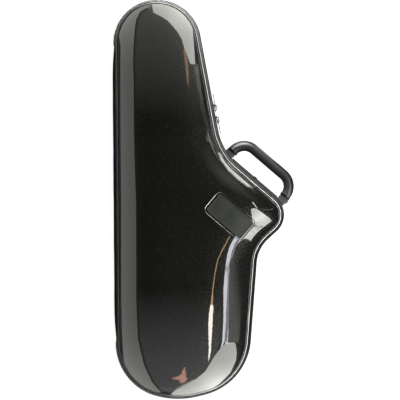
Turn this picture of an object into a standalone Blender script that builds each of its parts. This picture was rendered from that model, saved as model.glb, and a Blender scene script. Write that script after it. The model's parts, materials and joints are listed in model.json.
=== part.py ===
"""Alto saxophone case: two glossy moulded shells that close with a zip, a fabric hinge along the
straight side, a carrying handle over the bell and a fitted foam bed inside.

Metres, +Z up. The case lies on its back: +Y runs to the neck end, +X to the bell and the handle,
and the zip's middle plane is at MID_HEIGHT. Places along the rim are worked out from its corners.
"""

import math

import bmesh
import bpy
import numpy as np
from mathutils import Matrix, Vector
from mathutils.geometry import delaunay_2d_cdt

# The case as a whole
CASE_LENGTH = 0.650
CASE_WIDTH = 0.277
MID_HEIGHT = 0.086
LID_DEPTH_BELL = 0.084
LID_DEPTH_NECK = 0.056
LID_TAPER_SHARES = (0.46, 0.97)
GAP = 0.0003
CUT_OVERRUN = 0.004

# Corners of the zipped rim seen from above, clockwise from the neck end's left corner:
# share of the width, share of the length, corner radius as a share of the width
RIM_CORNER_SHARES = (
    (-0.001, 1.0, 0.253),
    (0.4706, 1.0, 0.258),
    (0.6376, 0.6198, 0.376),
    (1.0682, 0.4629, 0.129),
    (0.8471, 0.3779, 0.212),
    (0.7871, 0.0378, 0.353),
    (0.3729, -0.0063, 0.506),
    (0.0165, 0.0363, 0.335),
)
# The rim's sides in the same order, each from its own corner to the next
RIM_SIDES = (
    "neck_end",
    "neck_side",
    "bell_side",
    "bell_foot",
    "bow_side",
    "bow",
    "bow_foot",
    "hinge_side",
)
ARC_STEP = math.radians(13)
LINE_STEP = 0.062

# Shells. Offsets count outward from the rim's outline, heights from the zip's middle plane.
SHELL_WALL = 0.0025
FLANGE_OFFSET = -0.0052
FLANGE_INNER = -0.0072
FLANGE_HEIGHT = 0.0125
WALL_OFFSET = -0.0080
WALL_FOOT = 0.0135
LID_REACH = 0.075
LID_ROUND = 2.3
BACK_REACH = 0.035
BACK_ROUND = 2.4
LID_ROW_ANGLES = tuple(math.radians(angle) for angle in (8, 19, 31, 43))
BACK_ROW_ANGLES = tuple(math.radians(angle) for angle in (10, 25, 41, 56, 70))
LID_CROWN_STEP = 0.025
BACK_CROWN_STEP = 0.040
RING_CLEAR_SHARE = 0.55
BADGE_CLEAR_SHARE = 0.4

# Piping and zip
PIPING_RADIUS = 0.0014
PIPING_OFFSET = -0.0049
TAPE_THICKNESS = 0.0010
TAPE_TOP = (-0.0038, 0.0123)
TAPE_FOOT = (-0.00095, 0.0036)
COIL_RADIUS = 0.0013
COIL_OFFSET = -0.0006
COIL_HEIGHT = 0.00195
STOP_LENGTH = 0.003
STOP_SIZE = 0.0026

# Fabric hinge
HINGE_STANDOFF = 0.0040
HINGE_FABRIC = 0.0016
HINGE_SHOULDER = (0.0015, 0.0095)
HINGE_BEND_HEIGHT = 0.0045
HINGE_END_GAP = 0.002

# Foam bed
PARTING_GAP = 0.0004
FOAM_BASE = 0.0215
CAVITY_ROUND = 0.009
LID_CAVITY_SHARE = 0.62
POCKET_BASE = 0.028
SAX_CAVITY_SHARES = (
    (0.0668, 0.9123, 0.080),
    (0.2834, 0.9123, 0.070),
    (0.3267, 0.6200, 0.108),
    (0.5794, 0.5892, 0.090),
    (0.9477, 0.4600, 0.065),
    (0.7599, 0.3585, 0.180),
    (0.7058, 0.0875, 0.220),
    (0.3845, 0.0440, 0.360),
    (0.1101, 0.0846, 0.220),
)
POCKET_SHARES = (
    (0.3159, 0.9077, 0.045),
    (0.4278, 0.9077, 0.045),
    (0.5289, 0.6615, 0.045),
    (0.3592, 0.6615, 0.045),
)

# Badge plate, bare
BADGE_LENGTH = 0.072
BADGE_HEIGHT = 0.035
BADGE_THICKNESS = 0.0024
BADGE_CORNER = 0.004
BADGE_SEAT = 0.0005
BADGE_PLACE_SHARES = (0.6794, 0.4594)

# Carrying handle
HANDLE_PLACE_SHARE = 0.443
HANDLE_HALF_SPAN = 0.0568
HANDLE_REACH = 0.0381
HANDLE_CORNER = 0.025
GRIP_RADIUS = 0.00775
GRIP_LEAD = 0.002
STRIP_HALF = 0.0487
STRIP_FACE = 0.0028
STRIP_HEIGHT = 0.018
STRIP_TOP = 0.0162
LOOP_WIDTH = 0.0155
LOOP_NECK_WIDTH = 0.012
LOOP_RADIUS = 0.0040
LOOP_FOLD = 0.0005
PIVOT_OFFSET = 0.0004
PIN_RADIUS = 0.0016
PIN_DEPTH = 0.008
PIN_HEAD_RADIUS = 0.0030
PIN_HEAD = 0.0014
RIVET_RADIUS = 0.0036
RIVET_DOME = 0.0019

# Zip sliders and their pulls
SLIDER_PLACE_SHARES = (0.712, 0.789)
SLIDER_LENGTH = 0.013
SLIDER_HALF_HEIGHT = 0.0042
SLIDER_PLATE = 0.0012
SLIDER_OUTER = 0.0011
SLIDER_INNER = -0.0040
SLIDER_CORNER = 0.0012
POST_LENGTH = 0.003
POST_THICKNESS = 0.0006
BRIDGE_HALF_LENGTH = 0.0045
BRIDGE_EYE_HALF_LENGTH = 0.0032
BRIDGE_EYE_HEIGHT = 0.0021
BRIDGE_TOP = 0.0012
BRIDGE_HALF_HEIGHT = 0.0012
PULL_BAR = 0.0005
PULL_LIFT = 0.0010
PULL_LENGTH = 0.024
PULL_HALF_HEIGHT = 0.0028
PULL_TIP_HALF_HEIGHT = 0.0021
PULL_EYE_HALF_HEIGHT = 0.0016
PULL_EYE_LENGTH = 0.0058

# Strap rings
RING_PLACE_SHARES = (0.507, 0.590)
RING_WIRE = 0.002
RING_HALF_WIDTH = 0.0145
RING_DROP = 0.021
RING_CORNER = 0.0034
ANCHOR_WIDTH = 0.021
ANCHOR_THICKNESS = 0.0016
ANCHOR_TOP = 0.027
RING_HEIGHT = 0.046
SLEEVE_WALL = 0.0017
ANCHOR_RIVET_SPACING = 0.011
ANCHOR_RIVET_RADIUS = 0.0026
ANCHOR_RIVET_DOME = 0.0011
ANCHOR_RIVET_DROP = 0.006


# Helpers: collections, materials, meshes

def clear_scene():
    for obj in list(bpy.data.objects):
        bpy.data.objects.remove(obj, do_unlink=True)


def collection(name):
    made = bpy.data.collections.new(name)
    bpy.context.scene.collection.children.link(made)
    return made


def material(name, colour, roughness, metallic=0.0, coat=0.0):
    made = bpy.data.materials.new(name)
    made.use_nodes = True
    shader = made.node_tree.nodes["Principled BSDF"]
    shader.inputs["Base Color"].default_value = (*colour, 1.0)
    shader.inputs["Roughness"].default_value = roughness
    shader.inputs["Metallic"].default_value = metallic
    shader.inputs["Coat Weight"].default_value = coat
    made.diffuse_color = (*colour, 1.0)
    return made


class Studio:
    """The collections and the materials that every builder function shares."""

    def __init__(self):
        self.parts = collection("alto_saxophone_case")
        self.cutters = collection("cutters")
        self.cutters.hide_render = True
        self.gloss = material("graphite_gloss", (0.020, 0.021, 0.017), 0.22, 0.6, 1.0)
        self.piping = material("black_piping", (0.012, 0.012, 0.012), 0.35)
        self.tape = material("black_tape", (0.018, 0.018, 0.018), 0.75)
        self.coil = material("black_coil", (0.015, 0.015, 0.016), 0.40)
        self.webbing = material("grey_webbing", (0.035, 0.036, 0.038), 0.80)
        self.rubber = material("black_rubber", (0.012, 0.012, 0.012), 0.42)
        self.badge = material("badge_rubber", (0.045, 0.052, 0.046), 0.60)
        self.foam = material("plush_foam", (0.020, 0.020, 0.022), 0.95)
        self.metal = material("black_nickel", (0.110, 0.110, 0.115), 0.30, 1.0)


def add_object(studio, name, data, surface, matrix=None):
    obj = bpy.data.objects.new(name, data)
    studio.parts.objects.link(obj)
    obj.matrix_world = matrix or Matrix.Identity(4)
    data.materials.append(surface)
    return obj


def add_cutter(studio, name, data, matrix=None):
    obj = bpy.data.objects.new(name, data)
    studio.cutters.objects.link(obj)
    obj.matrix_world = matrix or Matrix.Identity(4)
    obj.hide_render = True
    obj.display_type = "WIRE"
    return obj


def smooth(obj, angle=math.radians(35)):
    obj.data.shade_smooth()
    obj.data.set_sharp_from_angle(angle=angle)


def mesh_from(builder, name):
    mesh = bpy.data.meshes.new(name)
    builder.to_mesh(mesh)
    builder.free()
    return mesh


def solidify(obj, thickness, outward=False):
    modifier = obj.modifiers.new("wall", "SOLIDIFY")
    modifier.thickness = thickness
    modifier.offset = 1.0 if outward else -1.0


def bevel(obj, width, segments=2, angle=math.radians(40)):
    modifier = obj.modifiers.new("edges", "BEVEL")
    modifier.width = width
    modifier.segments = segments
    modifier.limit_method = "ANGLE"
    modifier.angle_limit = angle


def boolean(obj, other, operation):
    modifier = obj.modifiers.new(operation.lower(), "BOOLEAN")
    modifier.operation = operation
    modifier.solver = "EXACT"
    modifier.object = other


def flat_curve(name, outlines, half_thickness):
    """A filled flat outline, with any further outlines as holes, extruded along its local Z."""
    curve = bpy.data.curves.new(name, "CURVE")
    curve.dimensions = "2D"
    curve.fill_mode = "BOTH"
    curve.extrude = half_thickness
    for outline in outlines:
        spline = curve.splines.new("POLY")
        spline.points.add(len(outline) - 1)
        for point, (x, y) in zip(spline.points, outline):
            point.co = (x, y, 0.0, 1.0)
        spline.use_cyclic_u = True
    return curve


def tube_curve(name, points, radius, resolution, closed):
    curve = bpy.data.curves.new(name, "CURVE")
    curve.dimensions = "3D"
    curve.bevel_depth = radius
    curve.bevel_resolution = resolution
    curve.use_fill_caps = not closed
    spline = curve.splines.new("POLY")
    spline.points.add(len(points) - 1)
    for point, place in zip(spline.points, points):
        point.co = (*place, 1.0)
    spline.use_cyclic_u = closed
    return curve


def mesh_of_curve(curve):
    """The curve's mesh with its loose caps welded, ready for a Boolean."""
    holder = bpy.data.objects.new(curve.name, curve)
    bpy.context.scene.collection.objects.link(holder)
    bpy.context.view_layer.update()
    evaluated = holder.evaluated_get(bpy.context.evaluated_depsgraph_get())
    mesh = bpy.data.meshes.new_from_object(evaluated)
    bpy.data.objects.remove(holder, do_unlink=True)
    builder = bmesh.new()
    builder.from_mesh(mesh)
    bmesh.ops.remove_doubles(builder, verts=builder.verts, dist=GAP / 10)
    builder.to_mesh(mesh)
    builder.free()
    mesh.materials.clear()
    return mesh


def box_mesh(name, low, high):
    builder = bmesh.new()
    bmesh.ops.create_cube(builder, size=1.0)
    size = Vector(high) - Vector(low)
    bmesh.ops.scale(builder, vec=size, verts=builder.verts)
    bmesh.ops.translate(builder, vec=(Vector(low) + Vector(high)) / 2, verts=builder.verts)
    return mesh_from(builder, name)


def cylinder_mesh(name, radius, low, high, sides=20):
    """A cylinder about local Z from low to high."""
    builder = bmesh.new()
    bmesh.ops.create_cone(
        builder,
        cap_ends=True,
        segments=sides,
        radius1=radius,
        radius2=radius,
        depth=high - low,
    )
    bmesh.ops.translate(builder, vec=(0, 0, (low + high) / 2), verts=builder.verts)
    return mesh_from(builder, name)


def turned_object(studio, name, profile, surface, matrix, steps=20):
    """A profile of radius and height turned about local Z, written from its top to its foot."""
    mesh = bpy.data.meshes.new(name)
    places = [(radius, 0.0, height) for radius, height in profile]
    edges = [(index, index + 1) for index in range(len(places) - 1)]
    mesh.from_pydata(places, edges, [])
    obj = add_object(studio, name, mesh, surface, matrix)
    screw = obj.modifiers.new("turn", "SCREW")
    screw.axis = "Z"
    screw.steps = steps
    screw.render_steps = steps
    screw.use_merge_vertices = True
    screw.merge_threshold = GAP / 10
    screw.use_smooth_shade = True
    return obj


def arc_points(centre, radius, start, end, steps):
    angles = np.linspace(start, end, steps + 1)
    return [
        (centre[0] + radius * math.cos(angle), centre[1] + radius * math.sin(angle))
        for angle in angles
    ]


# The rim's outline

def corners_of(shares):
    """Corner places and radii in metres from shares of the case's width and length."""
    return [
        (
            np.array(((x - 0.5) * CASE_WIDTH, (y - 0.5) * CASE_LENGTH)),
            radius * CASE_WIDTH,
        )
        for x, y, radius in shares
    ]


def corner_tangents(corners):
    """How far each rounding runs along its two sides, shortened where two would meet."""
    count = len(corners)
    places = [place for place, _ in corners]
    tangents = []
    for index, (place, radius) in enumerate(corners):
        before = place - places[index - 1]
        after = places[(index + 1) % count] - place
        turn = math.atan2(before[0] * after[1] - before[1] * after[0], float(before @ after))
        tangents.append([abs(radius * math.tan(turn / 2)), turn])
    for index in range(count):
        following = (index + 1) % count
        length = float(np.linalg.norm(places[following] - places[index]))
        wanted = tangents[index][0] + tangents[following][0]
        if wanted > length:
            tangents[index][0] *= length / wanted
            tangents[following][0] *= length / wanted
    return tangents


def rounded_outline(shares):
    """Points and outward normals of a clockwise outline, from the first corner's arc onward."""
    corners = corners_of(shares)
    tangents = corner_tangents(corners)
    count = len(corners)
    points, normals = [], []
    for index, (place, _) in enumerate(corners):
        tangent, turn = tangents[index]
        arriving = place - corners[index - 1][0]
        arriving = arriving / np.linalg.norm(arriving)
        leaving = corners[(index + 1) % count][0] - place
        side = float(np.linalg.norm(leaving))
        leaving = leaving / side
        radius = tangent / math.tan(abs(turn) / 2)
        outward = np.array((-arriving[1], arriving[0]))
        bend = 1.0 if turn < 0 else -1.0
        centre = place - arriving * tangent - outward * radius * bend
        steps = max(2, math.ceil(abs(turn) / ARC_STEP))
        for step in range(steps + 1):
            angle = turn * step / steps
            c, s = math.cos(angle), math.sin(angle)
            normal = np.array((c * outward[0] - s * outward[1], s * outward[0] + c * outward[1]))
            points.append(centre + normal * radius * bend)
            normals.append(normal)
        straight = side - tangent - tangents[(index + 1) % count][0]
        pieces = max(1, math.ceil(straight / LINE_STEP))
        for piece in range(1, pieces):
            points.append(place + leaving * (tangent + straight * piece / pieces))
            normals.append(np.array((-leaving[1], leaving[0])))
    return drop_repeats(np.array(points), np.array(normals))


def drop_repeats(points, normals):
    """Leaves out a point that lies on the one before it, where two roundings meet."""
    gaps = np.linalg.norm(points - np.roll(points, 1, axis=0), axis=1)
    kept = gaps > GAP
    return points[kept], normals[kept]


def side_corners(side):
    """Where a side of the rim starts and ends in the list of corners."""
    first = RIM_SIDES.index(side)
    return first, (first + 1) % len(RIM_SIDES)


def side_frame(side, distance_share):
    """The place on a straight side of the rim at mid height: X along it, Y outward, Z up."""
    corners = corners_of(RIM_CORNER_SHARES)
    first, last = (corners[index][0] for index in side_corners(side))
    along = (last - first) / np.linalg.norm(last - first)
    place = first + (last - first) * distance_share
    matrix = Matrix.Identity(4)
    matrix.col[0] = (along[0], along[1], 0, 0)
    matrix.col[1] = (-along[1], along[0], 0, 0)
    matrix.col[3] = (place[0], place[1], MID_HEIGHT, 1)
    return matrix


def across(matrix):
    """The same place turned so that flat outlines lie in the rim's section: X outward, Y up."""
    turn = Matrix(((0, 0, 1, 0), (1, 0, 0, 0), (0, 1, 0, 0), (0, 0, 0, 1)))
    return matrix @ turn


def moved(matrix, along=0.0, outward=0.0, up=0.0):
    return matrix @ Matrix.Translation((along, outward, up))


def rim_row(rim, offset, height):
    """The rim's points moved outward by offset and placed at height above the middle plane."""
    points, normals = rim
    placed = points + normals * offset
    return [(x, y, MID_HEIGHT + height) for x, y in placed]


def zip_row(rim, offset, height):
    """The rim's row without the places along the hinge side, which follow the last corner."""
    _, normals = rim
    on_side = normals @ normals[-1] > 1 - GAP / 1000
    trailing = int(np.argmin(on_side[::-1]))
    return rim_row(rim, offset, height)[: len(normals) - trailing + 1]


# The shells' form

def soft_distance(rim, places):
    """Smooth distance from the wall's foot: it equals the true one beside a straight wall and
    rounds off, with no ridge, where walls face each other."""
    points, normals = rim
    foot = points + normals * WALL_OFFSET
    starts, ends = foot, np.roll(foot, -1, axis=0)
    lengths = np.linalg.norm(ends - starts, axis=1)
    directions = (ends - starts) / lengths[:, None]
    total = np.zeros(len(places))
    for start, direction, length in zip(starts, directions, lengths):
        relative = places - start
        along = relative @ direction
        beside = np.abs(relative[:, 0] * direction[1] - relative[:, 1] * direction[0])
        beside = np.maximum(beside, GAP / 100)
        far = (length - along) / np.hypot(beside, length - along)
        near = along / np.hypot(beside, along)
        total += (far + near) / beside**2
    return np.sqrt(2.0 / total)


def lid_depth(y):
    """Depth of the lid above the middle plane, less toward the neck end."""
    low, high = (share * CASE_LENGTH - CASE_LENGTH / 2 for share in LID_TAPER_SHARES)
    share = np.clip((y - low) / (high - low), 0, 1)
    eased = share * share * (3 - 2 * share)
    return LID_DEPTH_BELL + (LID_DEPTH_NECK - LID_DEPTH_BELL) * eased


def shell_height(rim, places, lid):
    """Height of a shell's outer face from the middle plane at each place."""
    reach, roundness = (LID_REACH, LID_ROUND) if lid else (BACK_REACH, BACK_ROUND)
    share = np.clip(soft_distance(rim, places) / reach, 0, 1)
    rise = (1 - (1 - share) ** roundness) ** (1 / roundness)
    depth = lid_depth(places[:, 1]) if lid else MID_HEIGHT
    return WALL_FOOT + (depth - WALL_FOOT) * rise


def badge_places():
    """Places on the lid under the badge plate: its outline, then a grid inside it."""
    half_length, half_height = BADGE_LENGTH / 2, BADGE_HEIGHT / 2
    columns = np.linspace(-1, 1, 8)[1:-1] * (half_length - BADGE_CORNER)
    outline = []
    for corner, (x, y) in enumerate(((1, 1), (-1, 1), (-1, -1), (1, -1))):
        centre = (x * (half_length - BADGE_CORNER), y * (half_height - BADGE_CORNER))
        start = corner * math.pi / 2
        outline += arc_points(centre, BADGE_CORNER, start, start + math.pi / 2, 2)
        if corner % 2:
            outline += [(x * half_length, y * share * half_height) for share in (0.4, -0.4)]
        else:
            outline += [(-x * column, y * half_height) for column in columns]
    inner = [(x, share * half_height) for x in columns for share in (-0.4, 0.4)]
    frame = side_frame("bell_side", 0)
    sizes = (CASE_WIDTH, CASE_LENGTH)
    frame.col[3] = (*((share - 0.5) * size for share, size in zip(BADGE_PLACE_SHARES, sizes)), 0, 1)
    placed = [frame @ Vector((x, y, 0)) for x, y in outline + inner]
    places = np.array([(place.x, place.y) for place in placed])
    return places[: len(outline)], places[len(outline) :]


def crown_places(ring, lid):
    """A grid of places inside the last wall row, and the badge plate's own places in the lid."""
    step = LID_CROWN_STEP if lid else BACK_CROWN_STEP
    low, high = ring.min(axis=0), ring.max(axis=0)
    row_step = step * math.sqrt(3) / 2
    places = []
    for row, y in enumerate(np.arange(low[1] + row_step / 2, high[1], row_step)):
        shift = step / 2 if row % 2 else 0.0
        places += [(x, y) for x in np.arange(low[0] + shift, high[0], step)]
    places = np.array(places)
    starts, ends = ring, np.roll(ring, -1, axis=0)
    inside = np.zeros(len(places), bool)
    nearest = np.full(len(places), CASE_LENGTH)
    for start, end in zip(starts, ends):
        span = end - start
        share = np.clip(((places - start) @ span) / (span @ span), 0, 1)
        closest = start + share[:, None] * span
        nearest = np.minimum(nearest, np.linalg.norm(places - closest, axis=1))
        crosses = (start[1] > places[:, 1]) != (end[1] > places[:, 1])
        if span[1]:
            cut = start[0] + (places[:, 1] - start[1]) / span[1] * span[0]
            inside ^= crosses & (places[:, 0] < cut)
    kept = inside & (nearest > step * RING_CLEAR_SHARE)
    if not lid:
        return places[kept]
    badge = np.vstack(badge_places())
    for place in badge:
        kept &= np.linalg.norm(places - place, axis=1) > step * BADGE_CLEAR_SHARE
    return np.vstack((places[kept], badge))


def shell_surface(rim, lid):
    """Open outer face of one shell: flange, fillet, wall rows and crown. The flange and foot
    rows come first, so their vertices are the first three times the rim's count."""
    points, normals = rim
    side = 1.0 if lid else -1.0
    reach, roundness = (LID_REACH, LID_ROUND) if lid else (BACK_REACH, BACK_ROUND)
    rows = [
        rim_row(rim, FLANGE_OFFSET, side * FLANGE_HEIGHT),
        rim_row(rim, FLANGE_INNER, side * FLANGE_HEIGHT),
        rim_row(rim, WALL_OFFSET, side * WALL_FOOT),
    ]
    for angle in LID_ROW_ANGLES if lid else BACK_ROW_ANGLES:
        inset = reach * (1 - math.cos(angle) ** (2 / roundness))
        places = points + normals * (WALL_OFFSET - inset)
        heights = MID_HEIGHT + side * shell_height(rim, places, lid)
        rows.append([(x, y, z) for (x, y), z in zip(places, heights)])
    builder = bmesh.new()
    grid = [[builder.verts.new(place) for place in row] for row in rows]
    count = len(points)
    for lower, upper in zip(grid, grid[1:]):
        for index in range(count):
            following = (index + 1) % count
            builder.faces.new((lower[index], lower[following], upper[following], upper[index]))
    ring = np.array([vert.co[:2] for vert in grid[-1]])
    crown = crown_places(ring, lid)
    heights = MID_HEIGHT + side * shell_height(rim, crown, lid)
    top = list(grid[-1])
    top += [builder.verts.new((x, y, z)) for (x, y), z in zip(crown, heights)]
    fill_between(builder, ring, crown, top)
    face_outward(builder, side)
    return builder


def fill_between(builder, ring, inner, verts):
    """Triangles over the inside of a ring, through every inner place."""
    places = [Vector(place) for place in np.vstack((ring, inner))]
    result = delaunay_2d_cdt(places, [], [list(range(len(ring)))], 1, GAP / 100)
    origins = result[3]
    for triangle in result[2]:
        builder.faces.new([verts[origins[index][0]] for index in triangle])


def face_outward(builder, side):
    bmesh.ops.recalc_face_normals(builder, faces=builder.faces)
    builder.normal_update()
    highest = max(builder.faces, key=lambda face: face.calc_center_median().z * side)
    if highest.normal.z * side < 0:
        bmesh.ops.reverse_faces(builder, faces=builder.faces)
    builder.normal_update()


def build_shell(studio, rim, lid):
    name = "front_shell" if lid else "back_shell"
    mesh = mesh_from(shell_surface(rim, lid), name)
    shell = add_object(studio, name, mesh, studio.gloss)
    smooth(shell)
    solidify(shell, SHELL_WALL)
    return shell


# Band: piping, zip tape, zip coil, end stops

def build_piping(studio, rim, lid):
    side = 1.0 if lid else -1.0
    name = "front_edge_piping" if lid else "back_edge_piping"
    height = side * (FLANGE_HEIGHT + GAP + PIPING_RADIUS)
    row = rim_row(rim, PIPING_OFFSET, height)
    return add_object(studio, name, tube_curve(name, row, PIPING_RADIUS, 1, True), studio.piping)


def build_zip_tape(studio, rim, lid):
    """The woven tape from the flange to the coil, open along the hinge side."""
    side = 1.0 if lid else -1.0
    name = "front_zipper_tape" if lid else "back_zipper_tape"
    builder = bmesh.new()
    rows = [
        [builder.verts.new(place) for place in zip_row(rim, offset, side * height)]
        for offset, height in (TAPE_TOP, TAPE_FOOT)
    ]
    for index in range(len(rows[0]) - 1):
        quad = [rows[0][index], rows[0][index + 1], rows[1][index + 1], rows[1][index]]
        builder.faces.new(quad if lid else quad[::-1])
    tape = add_object(studio, name, mesh_from(builder, name), studio.tape)
    solidify(tape, TAPE_THICKNESS)
    return tape


def build_zip_coil(studio, rim, lid):
    side = 1.0 if lid else -1.0
    name = "front_zipper_coil" if lid else "back_zipper_coil"
    row = zip_row(rim, COIL_OFFSET, side * COIL_HEIGHT)
    return add_object(studio, name, tube_curve(name, row, COIL_RADIUS, 0, False), studio.coil)


def build_end_stops(studio, rim):
    """A clip against the back coil's last tooth at each end of the zip."""
    row = zip_row(rim, COIL_OFFSET, -COIL_HEIGHT)
    half = STOP_SIZE / 2
    for name, place, way in (("zipper_stop_neck", row[0], -1), ("zipper_stop_bow", row[-1], 1)):
        matrix = side_frame("hinge_side", 0)
        matrix.col[3] = (*place, 1)
        near, far = way * GAP, way * (GAP + STOP_LENGTH)
        mesh = box_mesh(name, (min(near, far), -half, -half), (max(near, far), half, half))
        stop = add_object(studio, name, mesh, studio.metal, matrix)
        bevel(stop, STOP_SIZE / 8, 1)


# Fabric hinge

def hinge_frame():
    """The fold line of the fabric hinge: X along it toward the neck end, Y outward, Z up."""
    return moved(side_frame("hinge_side", 0.5), outward=HINGE_STANDOFF)


def hinge_half_length():
    corners = corners_of(RIM_CORNER_SHARES)
    tangents = corner_tangents(corners)
    first, last = side_corners("hinge_side")
    side = float(np.linalg.norm(corners[last][0] - corners[first][0]))
    middle = (side + tangents[first][0] - tangents[last][0]) / 2 - side / 2
    half = (side - tangents[first][0] - tangents[last][0]) / 2
    return middle, half - HINGE_END_GAP - STOP_LENGTH


def build_hinge_flap(studio, lid):
    """Half of the bulging fabric, from the shell's flange to the fold line."""
    name = "front_hinge_flap" if lid else "back_hinge_flap"
    side = 1.0 if lid else -1.0
    face = HINGE_STANDOFF - GAP
    inner = face - HINGE_FABRIC
    seam_low = (FLANGE_OFFSET + GAP, TAPE_TOP[1] - HINGE_FABRIC / 2)
    seam_high = (TAPE_TOP[0], TAPE_TOP[1])
    outline = [
        seam_high,
        HINGE_SHOULDER,
        (face, HINGE_BEND_HEIGHT),
        (face, GAP),
        (inner, GAP),
        (inner, HINGE_BEND_HEIGHT),
        (HINGE_SHOULDER[0] - HINGE_FABRIC, HINGE_SHOULDER[1] - HINGE_FABRIC),
        seam_low,
    ]
    middle, half = hinge_half_length()
    matrix = across(moved(side_frame("hinge_side", 0.5), along=middle))
    curve = flat_curve(name, [[(x, side * y) for x, y in outline]], half)
    return add_object(studio, name, curve, studio.tape, matrix)


# Foam bed

def cavity_cutter(studio, name, shares, lid, depth):
    """A hollow seen from above, with rounded floor edges. In the lid its roof follows the crown."""
    points, _ = rounded_outline(shares)
    margin = CAVITY_ROUND + CUT_OVERRUN
    half = (depth + margin) / 2
    side = 1.0 if lid else -1.0
    middle = MID_HEIGHT + side * (depth - margin) / 2
    mesh = mesh_of_curve(flat_curve(name, [points], half))
    if lid:
        for vert in mesh.vertices:
            if vert.co.z > 0:
                roof = MID_HEIGHT + LID_CAVITY_SHARE * float(lid_depth(vert.co.y))
                vert.co.z = roof - middle
    cutter = add_cutter(studio, name, mesh, Matrix.Translation((0, 0, middle)))
    bevel(cutter, CAVITY_ROUND, 2)
    return cutter


def liner_body(rim, lid):
    """Closed block that fills a shell: its inner face moved in, and a flat at the parting plane."""
    side = 1.0 if lid else -1.0
    builder = shell_surface(rim, lid)
    builder.verts.ensure_lookup_table()
    flange = list(builder.verts)[: 3 * len(rim[0])]
    for vert in builder.verts:
        vert.co -= vert.normal * (SHELL_WALL + 2 * GAP)
    bmesh.ops.delete(builder, geom=flange, context="VERTS")
    edge = [found for found in builder.edges if found.is_boundary]
    skirt = bmesh.ops.extrude_edge_only(builder, edges=edge)["geom"]
    for vert in (found for found in skirt if isinstance(found, bmesh.types.BMVert)):
        vert.co.z = MID_HEIGHT + side * PARTING_GAP
    rim_edges = [found for found in builder.edges if found.is_boundary]
    bmesh.ops.edgeloop_fill(builder, edges=rim_edges)
    bmesh.ops.recalc_face_normals(builder, faces=builder.faces)
    return builder


def build_liner(studio, rim, lid):
    name = "front_foam_liner" if lid else "back_foam_liner"
    liner = add_object(studio, name, mesh_from(liner_body(rim, lid), name), studio.foam)
    if lid:
        depth = LID_CAVITY_SHARE * LID_DEPTH_BELL
        boolean(liner, cavity_cutter(studio, "lid_cavity", SAX_CAVITY_SHARES, True, depth), "DIFFERENCE")
    else:
        cavity = cavity_cutter(
            studio, "base_cavity", SAX_CAVITY_SHARES, False, MID_HEIGHT - FOAM_BASE
        )
        pocket = cavity_cutter(studio, "neck_pocket", POCKET_SHARES, False, MID_HEIGHT - POCKET_BASE)
        boolean(liner, cavity, "DIFFERENCE")
        boolean(liner, pocket, "DIFFERENCE")
    return liner


# Badge plate

def build_badge(studio, rim):
    """A bare rubber plate that lies on the lid's dome."""
    outline, inner = badge_places()
    places = np.vstack((outline, inner))
    heights = MID_HEIGHT + shell_height(rim, places, True) + BADGE_SEAT
    builder = bmesh.new()
    verts = [builder.verts.new((x, y, z)) for (x, y), z in zip(places, heights)]
    fill_between(builder, outline, inner, verts)
    face_outward(builder, 1.0)
    plate = add_object(studio, "badge_plate", mesh_from(builder, "badge_plate"), studio.badge)
    solidify(plate, BADGE_THICKNESS, outward=True)
    bevel(plate, BADGE_THICKNESS / 4, 1, math.radians(60))
    return plate


# Carrying handle

def wall_beside(frame):
    """The back shell's wall near a place on a side, as places along it and outward, in order."""
    points, normals = rounded_outline(RIM_CORNER_SHARES)
    wall = points + normals * (WALL_OFFSET + 2 * GAP)
    local = [frame.inverted() @ Vector((x, y, MID_HEIGHT)) for x, y in wall]
    return sorted((place.x, place.y) for place in local if abs(place.y) < HANDLE_REACH)


def handle_frame():
    """Middle of the handle's base at mid height: on the bell side's line, or further out where
    the wall beside the loops comes out past their inner faces."""
    line = side_frame("bell_side", HANDLE_PLACE_SHARE)
    wall = wall_beside(line)
    end = HANDLE_HALF_SPAN + LOOP_NECK_WIDTH / 2
    furthest = max(float(np.interp(x, *zip(*wall))) for x in (-end, end))
    return moved(line, outward=max(0, furthest + LOOP_RADIUS - PIVOT_OFFSET))


def handle_pivot():
    return moved(handle_frame(), outward=PIVOT_OFFSET, up=-STRIP_TOP - STRIP_HEIGHT / 2)


def grip_start():
    """Where the grip's corners begin, counted outward from the pivot line."""
    return HANDLE_REACH - HANDLE_CORNER - PIVOT_OFFSET


def build_handle_strip(studio):
    """The webbing-covered bar along the back shell's wall, with a bore for a pin at each end."""
    frame = handle_frame()
    wall = wall_beside(frame)
    stations = [x for x, _ in wall if abs(x) < STRIP_HALF - GAP]
    stations = [-STRIP_HALF, *stations, STRIP_HALF]
    outline = [(x, float(np.interp(x, *zip(*wall)))) for x in stations]
    outline += [(STRIP_HALF, STRIP_FACE), (-STRIP_HALF, STRIP_FACE)]
    mesh = mesh_of_curve(flat_curve("handle_strip", [outline], STRIP_HEIGHT / 2))
    matrix = moved(frame, up=-STRIP_TOP - STRIP_HEIGHT / 2)
    strip = add_object(studio, "handle_base_strip", mesh, studio.webbing, matrix)
    for index, way in enumerate((-1, 1)):
        bore = cylinder_mesh(
            f"pin_bore_{index}",
            PIN_RADIUS + GAP,
            STRIP_HALF - PIN_DEPTH,
            STRIP_HALF + CUT_OVERRUN,
        )
        cutter = add_cutter(studio, f"pin_bore_{index}", bore, end_matrix(way))
        boolean(strip, cutter, "DIFFERENCE")
    return strip


def end_matrix(way):
    """The handle's pivot line with local Z pointing to one of its ends."""
    quarter = Matrix.Rotation(way * math.pi / 2, 4, "Y")
    return handle_pivot() @ quarter


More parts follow.
